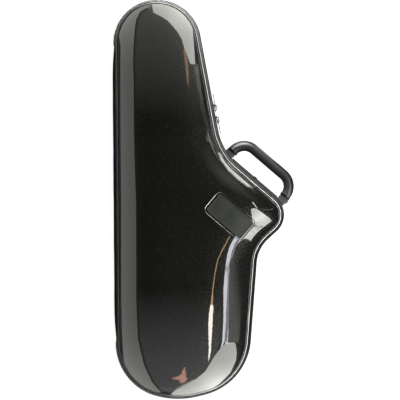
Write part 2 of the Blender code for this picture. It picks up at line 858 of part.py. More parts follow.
def build_handle_pin(studio, name, way):
    """Pin with a flat head that holds one webbing loop on the strip's end."""
    inner = STRIP_HALF - PIN_DEPTH + GAP
    outer = HANDLE_HALF_SPAN + LOOP_NECK_WIDTH / 2 + GAP
    profile = [
        (0.0, outer + PIN_HEAD),
        (PIN_HEAD_RADIUS - PIN_HEAD / 3, outer + PIN_HEAD),
        (PIN_HEAD_RADIUS, outer + PIN_HEAD * 2 / 3),
        (PIN_HEAD_RADIUS, outer),
        (PIN_RADIUS, outer),
        (PIN_RADIUS, inner),
        (0.0, inner),
    ]
    return turned_object(studio, name, profile, studio.metal, end_matrix(way))


def build_handle_rivet(studio):
    """The stud that shows in the middle of the strip."""
    profile = [
        (0.0, RIVET_DOME),
        (RIVET_RADIUS * 0.6, RIVET_DOME * 0.85),
        (RIVET_RADIUS * 0.9, RIVET_DOME * 0.45),
        (RIVET_RADIUS, 0.0),
        (0.0, 0.0),
    ]
    face = moved(handle_frame(), outward=STRIP_FACE + GAP, up=-STRIP_TOP - STRIP_HEIGHT / 2)
    matrix = face @ Matrix.Rotation(-math.pi / 2, 4, "X")
    return turned_object(studio, "handle_rivet", profile, studio.metal, matrix, 16)


def build_handle_loop(studio, name, way, pivot):
    """Folded webbing, drawn in where it goes round the pin, and wider out to the grip's end."""
    reach = grip_start() - GRIP_LEAD - GAP
    outline = arc_points((0, 0), LOOP_RADIUS, math.pi / 2, math.pi * 3 / 2, 10)
    middle = (LOOP_RADIUS + reach) / 2
    outline += [(middle, -LOOP_RADIUS), (middle, LOOP_RADIUS)]
    bore = arc_points((0, 0), PIN_RADIUS + GAP, 0, math.pi * 2, 14)[:-1]
    mesh = mesh_of_curve(flat_curve(name, [outline, bore], LOOP_NECK_WIDTH / 2))
    matrix = across(moved(handle_pivot(), along=way * HANDLE_HALF_SPAN))
    loop = add_object(studio, name, mesh, studio.webbing, matrix)
    half = LOOP_RADIUS + LOOP_FOLD
    sleeve = box_mesh(
        f"{name}_sleeve",
        (LOOP_RADIUS, -half, -LOOP_WIDTH / 2),
        (reach, half, LOOP_WIDTH / 2),
    )
    boolean(loop, add_cutter(studio, sleeve.name, sleeve, matrix), "UNION")
    bevel(loop, LOOP_FOLD, 1)
    hang_from(loop, pivot, matrix)
    return loop


def build_grip(studio, pivot):
    """Round rubber grip in a wide U with full corners."""
    base = grip_start()
    middle = HANDLE_HALF_SPAN - HANDLE_CORNER
    right = arc_points((middle, base), HANDLE_CORNER, 0, math.pi / 2, 7)
    left = arc_points((-middle, base), HANDLE_CORNER, math.pi / 2, math.pi, 7)
    lead = base - GRIP_LEAD
    plan = [(HANDLE_HALF_SPAN, lead), *right, *left, (-HANDLE_HALF_SPAN, lead)]
    points = [(x, y, 0.0) for x, y in plan]
    curve = tube_curve("handle_grip", points, GRIP_RADIUS, 4, False)
    grip = add_object(studio, "handle_grip", mesh_of_curve(curve), studio.rubber, handle_pivot())
    smooth(grip, math.radians(50))
    hang_from(grip, pivot, handle_pivot())
    return grip


def hang_from(obj, parent, matrix):
    """Parents obj and leaves it at matrix. The parent stands at the matrix in its own record."""
    obj.parent = parent
    obj.matrix_parent_inverse = Matrix(parent["rest"]).inverted()
    obj.matrix_world = matrix


def pivot_empty(studio, name, matrix, parent=None):
    empty = bpy.data.objects.new(name, None)
    studio.parts.objects.link(empty)
    empty["rest"] = [list(row) for row in matrix]
    empty.matrix_world = matrix
    if parent:
        hang_from(empty, parent, matrix)
    return empty


# Zip sliders and pulls

def slider_frame(index):
    return side_frame("neck_side", SLIDER_PLACE_SHARES[index])


def build_slider(studio, name, index, pivot):
    """Two plates joined by a post between the coils, and a bridge that holds the pull."""
    half = SLIDER_LENGTH / 2
    outer = SLIDER_OUTER + SLIDER_PLATE
    frame = slider_frame(index)
    body = add_object(
        studio,
        name,
        box_mesh(
            name,
            (-half, SLIDER_OUTER, -SLIDER_HALF_HEIGHT),
            (half, outer, SLIDER_HALF_HEIGHT),
        ),
        studio.metal,
        frame,
    )
    bevel(body, SLIDER_PLATE / 4, 1)
    inner = box_mesh(
        f"{name}_inner",
        (-half, SLIDER_INNER, -SLIDER_HALF_HEIGHT),
        (half, SLIDER_INNER + SLIDER_PLATE, SLIDER_HALF_HEIGHT),
    )
    post = box_mesh(
        f"{name}_post",
        (-half + SLIDER_CORNER, SLIDER_INNER + SLIDER_PLATE / 2, -POST_THICKNESS / 2),
        (-half + SLIDER_CORNER + POST_LENGTH, outer - SLIDER_PLATE / 4, POST_THICKNESS / 2),
    )
    eye_top = outer + BRIDGE_EYE_HEIGHT
    arch = [
        (-BRIDGE_HALF_LENGTH, outer - SLIDER_PLATE / 2),
        (-BRIDGE_HALF_LENGTH, eye_top + BRIDGE_TOP / 4),
        (-BRIDGE_EYE_HALF_LENGTH, eye_top + BRIDGE_TOP),
        (BRIDGE_EYE_HALF_LENGTH, eye_top + BRIDGE_TOP),
        (BRIDGE_HALF_LENGTH, eye_top + BRIDGE_TOP / 4),
        (BRIDGE_HALF_LENGTH, outer - SLIDER_PLATE / 2),
        (BRIDGE_EYE_HALF_LENGTH, outer - SLIDER_PLATE / 2),
        (BRIDGE_EYE_HALF_LENGTH, eye_top - BRIDGE_TOP / 2),
        (BRIDGE_EYE_HALF_LENGTH - BRIDGE_TOP / 2, eye_top),
        (-BRIDGE_EYE_HALF_LENGTH + BRIDGE_TOP / 2, eye_top),
        (-BRIDGE_EYE_HALF_LENGTH, eye_top - BRIDGE_TOP / 2),
        (-BRIDGE_EYE_HALF_LENGTH, outer - SLIDER_PLATE / 2),
    ]
    bridge = mesh_of_curve(flat_curve(f"{name}_bridge", [arch], BRIDGE_HALF_HEIGHT))
    for part in (inner, post, bridge):
        boolean(body, add_cutter(studio, part.name, part, frame), "UNION")
    hang_from(body, pivot, frame)
    return body


def pull_matrix(index):
    """The pull's bar under the bridge, with local X along the pull."""
    lift = SLIDER_OUTER + SLIDER_PLATE + PULL_LIFT
    frame = moved(slider_frame(index), outward=lift)
    return frame if index else frame @ Matrix.Rotation(math.pi, 4, "Y")


def build_pull(studio, name, index, pivot):
    """Flat tab whose end bar lies under the slider's bridge."""
    tip = arc_points(
        (PULL_LENGTH - PULL_TIP_HALF_HEIGHT, 0),
        PULL_TIP_HALF_HEIGHT,
        -math.pi / 2,
        math.pi / 2,
        8,
    )
    outline = [(-PULL_BAR, PULL_HALF_HEIGHT), (-PULL_BAR, -PULL_HALF_HEIGHT)]
    outline += [(PULL_EYE_LENGTH, -PULL_HALF_HEIGHT)] + tip + [(PULL_EYE_LENGTH, PULL_HALF_HEIGHT)]
    eye = [
        (PULL_BAR, -PULL_EYE_HALF_HEIGHT),
        (PULL_EYE_LENGTH, -PULL_EYE_HALF_HEIGHT),
        (PULL_EYE_LENGTH, PULL_EYE_HALF_HEIGHT),
        (PULL_BAR, PULL_EYE_HALF_HEIGHT),
    ]
    mesh = mesh_of_curve(flat_curve(name, [outline, eye], PULL_BAR))
    turn = Matrix(((1, 0, 0, 0), (0, 0, -1, 0), (0, 1, 0, 0), (0, 0, 0, 1)))
    matrix = pull_matrix(index) @ turn
    pull = add_object(studio, name, mesh, studio.metal, matrix)
    hang_from(pull, pivot, matrix)
    return pull


# Strap rings on the back shell's wall

def wall_inset(height):
    """How far the back shell's wall has curved in, at a distance below the middle plane."""
    rise = (height - WALL_FOOT) / (MID_HEIGHT - WALL_FOOT)
    return BACK_REACH * (1 - (1 - rise**BACK_ROUND) ** (1 / BACK_ROUND))


def ring_frame(index):
    side = ("neck_side", "bow_side")[index]
    return side_frame(side, RING_PLACE_SHARES[index])


def sleeve_radius():
    return RING_WIRE + GAP + SLEEVE_WALL


def ring_axis(index):
    offset = WALL_OFFSET - wall_inset(RING_HEIGHT) + 2 * GAP + sleeve_radius()
    return moved(ring_frame(index), outward=offset, up=-RING_HEIGHT)


def build_anchor(studio, name, index):
    """Plate on the wall with a sleeve at its foot, bent round the ring's bar."""
    axis_offset = WALL_OFFSET - wall_inset(RING_HEIGHT) + 2 * GAP + sleeve_radius()
    radius = sleeve_radius()
    heights = np.linspace(ANCHOR_TOP, RING_HEIGHT - radius / 2, 6)
    back = [(WALL_OFFSET - wall_inset(height) + 2 * GAP, -height) for height in heights]
    front = [(x + ANCHOR_THICKNESS, y) for x, y in back if y > -RING_HEIGHT + radius]
    centre = (axis_offset, -RING_HEIGHT)
    sleeve = arc_points(centre, radius, math.radians(165), math.radians(415), 14)
    bore = arc_points(centre, RING_WIRE + GAP, 0, 2 * math.pi, 14)[:-1]
    mesh = mesh_of_curve(flat_curve(name, [back + sleeve + front[::-1], bore], ANCHOR_WIDTH / 2))
    return add_object(studio, name, mesh, studio.metal, across(ring_frame(index)))


def build_ring(studio, name, index):
    """D-shaped wire ring whose straight bar turns in the anchor's sleeve."""
    half, corner = RING_HALF_WIDTH, RING_CORNER
    points = arc_points((half - corner, -corner), corner, math.pi / 2, 0, 3)
    bow = [
        (half * math.cos(angle), -corner - (RING_DROP - corner) * math.sin(angle))
        for angle in np.linspace(0, math.pi, 11)[1:-1]
    ]
    points += bow
    points += arc_points((corner - half, -corner), corner, math.pi, math.pi / 2, 3)
    curve = tube_curve(name, [(x, 0.0, z) for x, z in points], RING_WIRE, 2, True)
    ring = add_object(studio, name, mesh_of_curve(curve), studio.metal, ring_axis(index))
    smooth(ring, math.radians(70))
    return ring


def build_anchor_rivets(studio, index):
    """Two domed rivets through each anchor plate."""
    height = ANCHOR_TOP + ANCHOR_RIVET_DROP
    offset = WALL_OFFSET - wall_inset(height) + 3 * GAP + ANCHOR_THICKNESS
    profile = [
        (0.0, ANCHOR_RIVET_DOME),
        (ANCHOR_RIVET_RADIUS * 0.7, ANCHOR_RIVET_DOME * 0.75),
        (ANCHOR_RIVET_RADIUS, 0.0),
        (0.0, 0.0),
    ]
    for number, way in enumerate((-1, 1)):
        along = way * ANCHOR_RIVET_SPACING / 2
        face = moved(ring_frame(index), along=along, outward=offset, up=-height)
        matrix = face @ Matrix.Rotation(-math.pi / 2, 4, "X")
        name = f"strap_rivet_{('upper', 'lower')[index]}_{number + 1}"
        turned_object(studio, name, profile, studio.metal, matrix, 12)


# Assembly

def build_lid(studio, rim):
    fold = pivot_empty(studio, "lid_fold_line", hinge_frame())
    pieces = [
        build_shell(studio, rim, True),
        build_piping(studio, rim, True),
        build_zip_tape(studio, rim, True),
        build_zip_coil(studio, rim, True),
        build_hinge_flap(studio, True),
        build_liner(studio, rim, True),
        build_badge(studio, rim),
    ]
    for piece in pieces:
        hang_from(piece, fold, piece.matrix_world.copy())


def build_base(studio, rim):
    build_shell(studio, rim, False)
    build_piping(studio, rim, False)
    build_zip_tape(studio, rim, False)
    build_zip_coil(studio, rim, False)
    build_end_stops(studio, rim)
    build_hinge_flap(studio, False)
    build_liner(studio, rim, False)


def build_handle(studio):
    build_handle_strip(studio)
    build_handle_rivet(studio)
    pivot = pivot_empty(studio, "handle_pivot", handle_pivot())
    for name, way in (("upper", -1), ("lower", 1)):
        build_handle_pin(studio, f"handle_pin_{name}", way)
        build_handle_loop(studio, f"handle_loop_{name}", way, pivot)
    build_grip(studio, pivot)


def build_sliders(studio):
    for index, name in enumerate(("upper", "lower")):
        runner = pivot_empty(studio, f"slider_{name}_runner", slider_frame(index))
        hinge = pivot_empty(studio, f"pull_{name}_hinge", pull_matrix(index), runner)
        build_slider(studio, f"zipper_slider_{name}", index, runner)
        build_pull(studio, f"zipper_pull_{name}", index, hinge)


def build_rings(studio):
    for index, name in enumerate(("upper", "lower")):
        build_anchor(studio, f"strap_anchor_{name}", index)
        build_ring(studio, f"strap_ring_{name}", index)
        build_anchor_rivets(studio, index)


def main():
    clear_scene()
    studio = Studio()
    rim = rounded_outline(RIM_CORNER_SHARES)
    build_base(studio, rim)
    build_lid(studio, rim)
    build_handle(studio)
    build_sliders(studio)
    build_rings(studio)


main()
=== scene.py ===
import json
import math

import bmesh
import bpy
import numpy as np
from bpy.props import FloatProperty, FloatVectorProperty, PointerProperty
from mathutils import Matrix, Vector, noise
from mathutils.geometry import delaunay_2d_cdt

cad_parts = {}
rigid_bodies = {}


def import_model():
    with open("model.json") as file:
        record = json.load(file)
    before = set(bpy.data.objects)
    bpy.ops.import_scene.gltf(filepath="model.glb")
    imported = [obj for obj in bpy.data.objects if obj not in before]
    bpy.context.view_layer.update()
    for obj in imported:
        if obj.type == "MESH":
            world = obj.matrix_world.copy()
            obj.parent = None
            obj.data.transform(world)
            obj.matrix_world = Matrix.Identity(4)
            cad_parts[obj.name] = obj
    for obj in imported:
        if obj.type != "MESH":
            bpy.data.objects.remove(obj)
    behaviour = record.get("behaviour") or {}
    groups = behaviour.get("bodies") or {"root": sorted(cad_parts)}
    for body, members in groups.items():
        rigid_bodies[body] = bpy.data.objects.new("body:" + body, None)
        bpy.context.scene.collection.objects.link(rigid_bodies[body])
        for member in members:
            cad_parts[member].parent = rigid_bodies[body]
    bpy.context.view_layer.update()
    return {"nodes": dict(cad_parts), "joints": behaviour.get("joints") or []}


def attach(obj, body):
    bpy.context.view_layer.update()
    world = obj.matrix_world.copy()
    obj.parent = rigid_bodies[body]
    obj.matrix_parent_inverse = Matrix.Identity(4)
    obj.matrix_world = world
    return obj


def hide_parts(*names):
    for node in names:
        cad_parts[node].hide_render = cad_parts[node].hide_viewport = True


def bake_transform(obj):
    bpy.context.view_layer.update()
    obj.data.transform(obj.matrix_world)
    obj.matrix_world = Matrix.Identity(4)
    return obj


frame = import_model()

bl_info = {
    "name": "Alto Saxophone Case",
    "version": (1, 0, 0),
    "blender": (4, 5, 0),
    "location": "View3D > Sidebar > Sax Case",
    "description": "Dresses the packed case: gloss shells, zip, fabric hinge, handle and plush lining",
    "category": "Object",
}

# The rim seen from above, clockwise from the neck end's left corner: share of the width, share of
# the length, corner radius as a share of the width
RIM_CORNERS = (
    (-0.001, 1.0, 0.253),
    (0.4706, 1.0, 0.258),
    (0.6376, 0.6198, 0.376),
    (1.0682, 0.4629, 0.129),
    (0.8471, 0.3779, 0.212),
    (0.7871, 0.0378, 0.353),
    (0.3729, -0.0063, 0.506),
    (0.0165, 0.0363, 0.335),
)
BELL_SIDE = (2, 3)
HINGE_SIDE = (7, 0)
TAPER_SHARES = (0.46, 0.97)
BADGE_SHARES = (0.6794, 0.4594)
HANDLE_SHARE = 0.443
# The power of each shell's rounding: 2 is a circle, more is squarer
LID_ROUNDNESS = 2.3
BACK_ROUNDNESS = 2.4
# Where the rows of the shells' outer faces and of the foam pad lie on the rounding, in degrees
LID_ANGLES = (0.0, 3, 6, 9, 13, 17, 21, 26, 31, 36, 41, 45)
BACK_ANGLES = (0.0, 5, 10, 16, 22, 29, 36, 43, 50, 57, 64, 70)
PAD_ANGLES = (0.5, 5, 10, 15, 20, 26, 32, 38, 45, 52, 60)
# Each half: its name, whether it is the lid, its body, and the first word of its solids' names
HALVES = (("lid", True, "lid", "front"), ("back", False, "base", "back"))
UP = np.array((0.0, 0.0, 1.0))
# How far the grip's bends stand in, the straight run to its mouths, and the webbing's gap from them
BEND_SETBACK = 0.0004
MOUTH_STRAIGHT = 0.0020
MOUTH_GAP = 0.0003
# Half the thickness of a webbing loop, the radius of its fold, and half its width at the pin
LOOP_HALF_THICK = 0.0043
FOLD_RADIUS = 0.0040
PIN_HALF_WIDTH = 0.0059
WOVEN_ROUGHNESS = 0.82
FABRIC_THICKNESS = 0.0009
WEBBING_THICKNESS = 0.0013
LINING_VOXEL = 0.0032
SHORTEST_STEP = 0.0003
SENSOR_WIDTH = 36.0
# What the studio's walls show to the camera, to gloss, and to all other light
CAMERA_GREY = (0.62, 0.62, 0.63, 1.0)
GLOSS_GREY = (0.012, 0.0125, 0.012, 1.0)
SOFT_GREY = (0.30, 0.30, 0.30, 1.0)
# Spacing of the places round a card's edge, and how close its unevenness is
EDGE_STEP = 0.002
EDGE_UNEVENNESS = 260.0
# The finest and coarsest mesh of a reflection card
CARD_STEPS = (0.0010, 0.0030)
FLAP_NODES = ("front_hinge_flap", "back_hinge_flap")
METAL_NODES = (
    "handle_pin_lower", "handle_pin_upper", "handle_rivet",
    "strap_anchor_lower", "strap_anchor_upper", "strap_ring_lower", "strap_ring_upper",
    "strap_rivet_lower_1", "strap_rivet_lower_2", "strap_rivet_upper_1", "strap_rivet_upper_2",
    "zipper_pull_lower", "zipper_pull_upper", "zipper_slider_lower", "zipper_slider_upper",
    "zipper_stop_bow", "zipper_stop_neck",
)


# Settings

def length(name, description, default):
    return FloatProperty(
        name=name, description=description, default=default, subtype="DISTANCE", unit="LENGTH"
    )


def colour(name, description, default):
    return FloatVectorProperty(
        name=name, description=description, default=default, size=3, subtype="COLOR", min=0.0, max=1.0
    )


class SAXCASE_PG_shell(bpy.types.PropertyGroup):
    case_length: length("Case Length", "Length of the case from neck end to bow", 0.650)
    case_width: length("Case Width", "Width of the case without its handle", 0.277)
    mid_height: length("Mid Height", "Height of the zip's middle plane above the floor", 0.086)
    depth_bell: length("Lid Depth at Bell", "Depth of the lid over the bell", 0.084)
    depth_neck: length("Lid Depth at Neck", "Depth of the lid at the neck end", 0.056)
    lid_reach: length("Lid Rounding", "How far the lid's rounding reaches in from its foot", 0.075)
    back_reach: length("Back Rounding", "How far the back's rounding reaches in from its foot", 0.035)
    wall: length("Wall", "Thickness of the moulded shell", 0.0025)
    foot_offset: length("Foot Offset", "Where the wall stands inside the rim line", 0.0080)
    foot_height: length("Foot Height", "Height of the wall's foot from the middle plane", 0.0135)
    flange_height: length("Flange Height", "Height of the flange from the middle plane", 0.0125)
    row_step: length("Outline Step", "Spacing of the points along the rim", 0.006)
    crown_step: length("Crown Step", "Spacing of the points on the crown", 0.0065)
    lip_radius: length("Lip Radius", "Radius of the bright lip along the lid's flange", 0.0009)


class SAXCASE_PG_zip(bpy.types.PropertyGroup):
    piping_radius: length("Piping Radius", "Radius of the piping along each flange", 0.00115)
    tape_thickness: length("Tape Thickness", "Thickness of the woven tape", 0.0008)
    tooth_pitch: length("Tooth Pitch", "Spacing of the teeth of one half", 0.0030)
    tooth_length: length("Tooth Length", "Length of a tooth along the zip", 0.0014)
    stitch_pitch: length("Stitch Pitch", "Spacing of the sewn stitches", 0.0042)
    hinge_bulge: length("Hinge Bulge", "How far the fabric hinge stands out from the rim line", 0.0024)


class SAXCASE_PG_handle(bpy.types.PropertyGroup):
    grip_radius: length("Grip Radius", "Radius of the rubber grip", 0.0085)
    half_span: length("Half Span", "Half the distance between the grip's ends", 0.0568)
    reach: length("Reach", "How far the grip's middle stands out", 0.0374)
    corner: length("Corner Radius", "Radius of the grip's bends", 0.025)
    loop_width: length("Loop Width", "Width of the webbing loops", 0.0182)
    strip_half: length("Strip Half Length", "Half the length of the base strip", 0.0487)
    strip_height: length("Strip Height", "Height of the base strip", 0.018)
    strip_face: length("Strip Face", "How far the strip's face stands out", 0.0028)
    badge_length: length("Badge Length", "Length of the badge plate", 0.072)
    badge_height: length("Badge Height", "Height of the badge plate", 0.035)


class SAXCASE_PG_colours(bpy.types.PropertyGroup):
    shell: colour("Shell", "Dark graphite under the clear coat", (0.0082, 0.0086, 0.0070))
    fleck: colour("Fleck", "Metallic fleck in the shell", (0.055, 0.056, 0.048))
    # The lip's light grey is painted highlight: it stands in for the bright line of light along the flange.
    lip: colour("Lip", "Bright lip along the lid's flange", (0.38, 0.38, 0.37))
    piping: colour("Piping", "Satin black piping", (0.0045, 0.0045, 0.0045))
    tape: colour("Zip Tape", "Woven black nylon", (0.012, 0.012, 0.0125))
    tooth: colour("Zip Teeth", "Moulded black nylon", (0.010, 0.010, 0.011))
    hinge: colour("Hinge Fabric", "Black fabric of the hinge", (0.0025, 0.0025, 0.0026))
    webbing: colour("Webbing", "Grey webbing of the handle", (0.25, 0.255, 0.27))
    grip: colour("Grip", "Black rubber of the grip", (0.0060, 0.0060, 0.0060))
    badge: colour("Badge", "Grey-green rubber of the bare badge plate", (0.050, 0.056, 0.049))
    plush: colour("Plush", "Black plush of the lining", (0.010, 0.010, 0.012))
    metal: colour("Fittings", "Black nickel of the fittings", (0.060, 0.060, 0.062))
    thread: colour("Thread", "Thread of the seams", (0.020, 0.020, 0.021))


class SAXCASE_PG_stage(bpy.types.PropertyGroup):
    floor_size: length("Floor Size", "Side of the square floor", 14.0)
    camera_height: length("Camera Height", "Height of the camera above the zip", 2.2)
    view_width: length("View Width", "Width of the view at the zip's height", 0.6524)
    view_x: length("View Centre X", "Centre of the view across the case", 0.00245)
    view_y: length("View Centre Y", "Centre of the view along the case", -0.0008)
    floor_colour: colour("Floor", "Pale floor", (0.90, 0.90, 0.90))
    coat_ior: FloatProperty(
        name="Coat IOR", description="Refractive index of the clear coat", default=2.0, min=1.0
    )
    floor_light: FloatProperty(
        name="Floor Light", description="Soft light from above", default=1.0, min=0.0
    )


class SAXCASE_PG_case(bpy.types.PropertyGroup):
    shell: PointerProperty(type=SAXCASE_PG_shell)
    zip: PointerProperty(type=SAXCASE_PG_zip)
    handle: PointerProperty(type=SAXCASE_PG_handle)
    colours: PointerProperty(type=SAXCASE_PG_colours)
    stage: PointerProperty(type=SAXCASE_PG_stage)


def settings():
    return bpy.context.scene.sax_case


# Points and lines

def unit(rows):
    """Each row scaled to a length of one."""
    return rows / np.linalg.norm(rows, axis=1)[:, None]


def eased(share):
    """A share from 0 to 1 that starts and ends gently."""
    return share * share * (3 - 2 * share)


def run_along(line):
    """How far each place of a line is from its first place, measured along the line."""
    return np.concatenate(([0.0], np.cumsum(np.linalg.norm(np.diff(line, axis=0), axis=1))))


def read_at(wanted, along, line):
    """The values of a line of pairs at the wanted distances along it."""
    return np.stack([np.interp(wanted, along, line[:, axis]) for axis in (0, 1)], axis=1)


# The rim's outline and the shells' form, as in the solids

class Rim:
    """Points of the rim's outline with their outward normals, clockwise seen from above."""

    def __init__(self, shell, arc_step=math.radians(3)):
        self.shell = shell
        self.corners = [
            (
                np.array(((x - 0.5) * shell.case_width, (y - 0.5) * shell.case_length)),
                radius * shell.case_width,
            )
            for x, y, radius in RIM_CORNERS
        ]
        self.tangents = self.corner_tangents()
        self.points, self.normals = self.outline(arc_step)

    def corner_tangents(self):
        places = [place for place, _ in self.corners]
        count = len(places)
        tangents = []
        for index, (place, radius) in enumerate(self.corners):
            before = place - places[index - 1]
            after = places[(index + 1) % count] - place
            turn = math.atan2(before[0] * after[1] - before[1] * after[0], float(before @ after))
            tangents.append([abs(radius * math.tan(turn / 2)), turn])
        for index in range(count):
            following = (index + 1) % count
            side = float(np.linalg.norm(places[following] - places[index]))
            wanted = tangents[index][0] + tangents[following][0]
            if wanted > side:
                tangents[index][0] *= side / wanted
                tangents[following][0] *= side / wanted
        return tangents

    def outline(self, arc_step):
        count = len(self.corners)
        points, normals = [], []
        for index, (place, _) in enumerate(self.corners):
            tangent, turn = self.tangents[index]
            arriving = place - self.corners[index - 1][0]
            arriving = arriving / np.linalg.norm(arriving)
            leaving = self.corners[(index + 1) % count][0] - place
            side = float(np.linalg.norm(leaving))
            leaving = leaving / side
            radius = tangent / math.tan(abs(turn) / 2)
            outward = np.array((-arriving[1], arriving[0]))
            bend = 1.0 if turn < 0 else -1.0
            centre = place - arriving * tangent - outward * radius * bend
            steps = max(2, math.ceil(abs(turn) / arc_step))
            for step in range(steps + 1):
                c, s = math.cos(turn * step / steps), math.sin(turn * step / steps)
                normal = np.array((c * outward[0] - s * outward[1], s * outward[0] + c * outward[1]))
                points.append(centre + normal * radius * bend)
                normals.append(normal)
            straight = side - tangent - self.tangents[(index + 1) % count][0]
            pieces = max(1, math.ceil(straight / self.shell.row_step))
            for piece in range(1, pieces):
                points.append(place + leaving * (tangent + straight * piece / pieces))
                normals.append(np.array((-leaving[1], leaving[0])))
        points, normals = np.array(points), np.array(normals)
        kept = np.linalg.norm(points - np.roll(points, 1, axis=0), axis=1) > SHORTEST_STEP
        return points[kept], normals[kept]

    def zip_stations(self):
        """Indices from the neck end's left corner round to the bow, without the hinge side."""
        on_side = self.normals @ self.normals[-1] > 1 - 1e-6
        trailing = int(np.argmin(on_side[::-1]))
        return list(range(len(self.points) - trailing + 1))

    def spaced(self, pitch, first, last, offset=0.0):
        """Places and outward normals at even spacing between two stations of the outline."""
        chosen = (self.points + self.normals * offset)[first : last + 1]
        along = run_along(chosen)
        count = int(along[-1] / pitch)
        wanted = (np.arange(count) + 0.5) * along[-1] / count
        facing = unit(read_at(wanted, along, self.normals[first : last + 1]))
        return read_at(wanted, along, chosen), facing

    def side(self, corners, share):
        """A place on a straight side at mid height: X along it, Y outward, Z up."""
        first, last = (self.corners[index][0] for index in corners)
        along = (last - first) / np.linalg.norm(last - first)
        place = first + (last - first) * share
        matrix = Matrix.Identity(4)
        matrix.col[0] = (along[0], along[1], 0, 0)
        matrix.col[1] = (-along[1], along[0], 0, 0)
        matrix.col[3] = (place[0], place[1], self.shell.mid_height, 1)
        return matrix

    def foot(self):
        return self.points - self.normals * self.shell.foot_offset

    def rounding(self, lid):
        """How far a shell's rounding reaches in from its foot, and the power of its curve."""
        return (self.shell.lid_reach, LID_ROUNDNESS) if lid else (self.shell.back_reach, BACK_ROUNDNESS)

    def soft_distance(self, places):
        """Smooth distance from the wall's foot, with no ridge where walls face each other."""
        foot = self.foot()
        ends = np.roll(foot, -1, axis=0)
        spans = np.linalg.norm(ends - foot, axis=1)
        directions = (ends - foot) / spans[:, None]
        total = np.zeros(len(places))
        for start, direction, span in zip(foot, directions, spans):
            relative = places - start
            along = relative @ direction
            beside = np.abs(relative[:, 0] * direction[1] - relative[:, 1] * direction[0])
            beside = np.maximum(beside, 1e-6)
            far = (span - along) / np.hypot(beside, span - along)
            near = along / np.hypot(beside, along)
            total += (far + near) / beside**2
        return np.sqrt(2.0 / total)

    def height(self, places, lid):
        """Height of a shell's outer face from the middle plane."""
        shell = self.shell
        reach, roundness = self.rounding(lid)
        share = np.clip(self.soft_distance(places) / reach, 0, 1)
        rise = (1 - (1 - share) ** roundness) ** (1 / roundness)
        depth = shell.mid_height
        if lid:
            low, high = (share * shell.case_length - shell.case_length / 2 for share in TAPER_SHARES)
            taper = eased(np.clip((places[:, 1] - low) / (high - low), 0, 1))
            depth = shell.depth_bell + (shell.depth_neck - shell.depth_bell) * taper
        return shell.foot_height + (depth - shell.foot_height) * rise

    def slope_normals(self, places, lid):
        """Unit normals of a shell's outer face, the lid's pointing up and the back's down."""
        step = 0.0005
        slopes = []
        for axis in ((step, 0.0), (0.0, step)):
            shift = np.array(axis)
            rise = self.height(places + shift, lid) - self.height(places - shift, lid)
            slopes.append(rise / (2 * step))
        normals = unit(np.stack((-slopes[0], -slopes[1], np.ones(len(places))), axis=1))
        normals[:, 2] *= 1.0 if lid else -1.0
        return normals

    def kept_on_wall(self, places, margin=0.0008):
        """Places moved in from the wall's foot where they lie outside it."""
        foot = self.foot()
        gaps = np.linalg.norm(places[:, None, :] - foot[None, :, :], axis=2)
        nearest = gaps.argmin(axis=1)
        facing = self.normals[nearest]
        beyond = ((places - foot[nearest]) * facing).sum(axis=1) + margin
        return places - facing * np.maximum(beyond, 0.0)[:, None]

    def inside(self, places, ring):
        """Which places lie inside a ring, and how far each is from it."""
        within = np.zeros(len(places), bool)
        nearest = np.full(len(places), 1.0)
        for start, end in zip(ring, np.roll(ring, -1, axis=0)):
            span = end - start
            share = np.clip(((places - start) @ span) / (span @ span), 0, 1)
            closest = start + share[:, None] * span
            nearest = np.minimum(nearest, np.linalg.norm(places - closest, axis=1))
            if span[1]:
                cut = start[0] + (places[:, 1] - start[1]) / span[1] * span[0]
                crosses = (start[1] > places[:, 1]) != (end[1] > places[:, 1])
                within ^= crosses & (places[:, 0] < cut)
        return within, nearest


# Mesh helpers

def object_from(name, verts, faces, surface, uvs=None, normals=None, sharp=None):
    """A mesh object from points and faces. uvs gives one pair for each face corner, in metres."""
    mesh = bpy.data.meshes.new(name)
    mesh.from_pydata([tuple(map(float, vert)) for vert in verts], [], faces)
    mesh.validate()
    mesh.shade_smooth()
    if sharp is not None:
        mesh.set_sharp_from_angle(angle=math.radians(sharp))
    if uvs is not None:
        layer = mesh.uv_layers.new(name="surface")
        layer.data.foreach_set("uv", np.array(uvs, np.float32).ravel())
    if normals is not None:
        mesh.normals_split_custom_set_from_vertices([tuple(map(float, normal)) for normal in normals])
    mesh.update()
    obj = bpy.data.objects.new(name, mesh)
    bpy.context.scene.collection.objects.link(obj)
    if surface:
        mesh.materials.append(surface)
    return obj


def lofted(name, rows, surface, around=False, sharp=None):
    """A closed skin over rings of points, capped at its ends or joined round from last to first.

    Its UV runs along the rings' stations and round each ring.
    """
    grid = np.array(rows, float)
    count, width = grid.shape[:2]
    along_steps = np.linalg.norm(np.roll(grid, -1, axis=0) - grid, axis=2).mean(axis=1)
    along = np.concatenate(([0.0], np.cumsum(along_steps)))
    across_steps = np.linalg.norm(np.roll(grid, -1, axis=1) - grid, axis=2).mean(axis=0)
    across = np.concatenate(([0.0], np.cumsum(across_steps)))
    faces, uvs = [], []
    for row in range(count if around else count - 1):
        following = (row + 1) % count
        for column in range(width):
            beside = (column + 1) % width
            corners = [(row, column), (following, column), (following, beside), (row, beside)]
            faces.append([line * width + place for line, place in corners])
            uvs += [
                (along[row], across[column]),
                (along[row + 1], across[column]),
                (along[row + 1], across[column + 1]),
                (along[row], across[column + 1]),
            ]
    if not around:
        first = list(range(width))[::-1]
        last = [(count - 1) * width + place for place in range(width)]
        for ring in (first, last):
            faces.append(ring)
            uvs += [(0.0, across[place % width]) for place in ring]
    return outward_faces(object_from(name, grid.reshape(-1, 3), faces, surface, uvs, sharp=sharp))


def outward_faces(obj):
    builder = bmesh.new()
    builder.from_mesh(obj.data)
    bmesh.ops.recalc_face_normals(builder, faces=builder.faces)
    builder.to_mesh(obj.data)
    builder.free()
    return obj


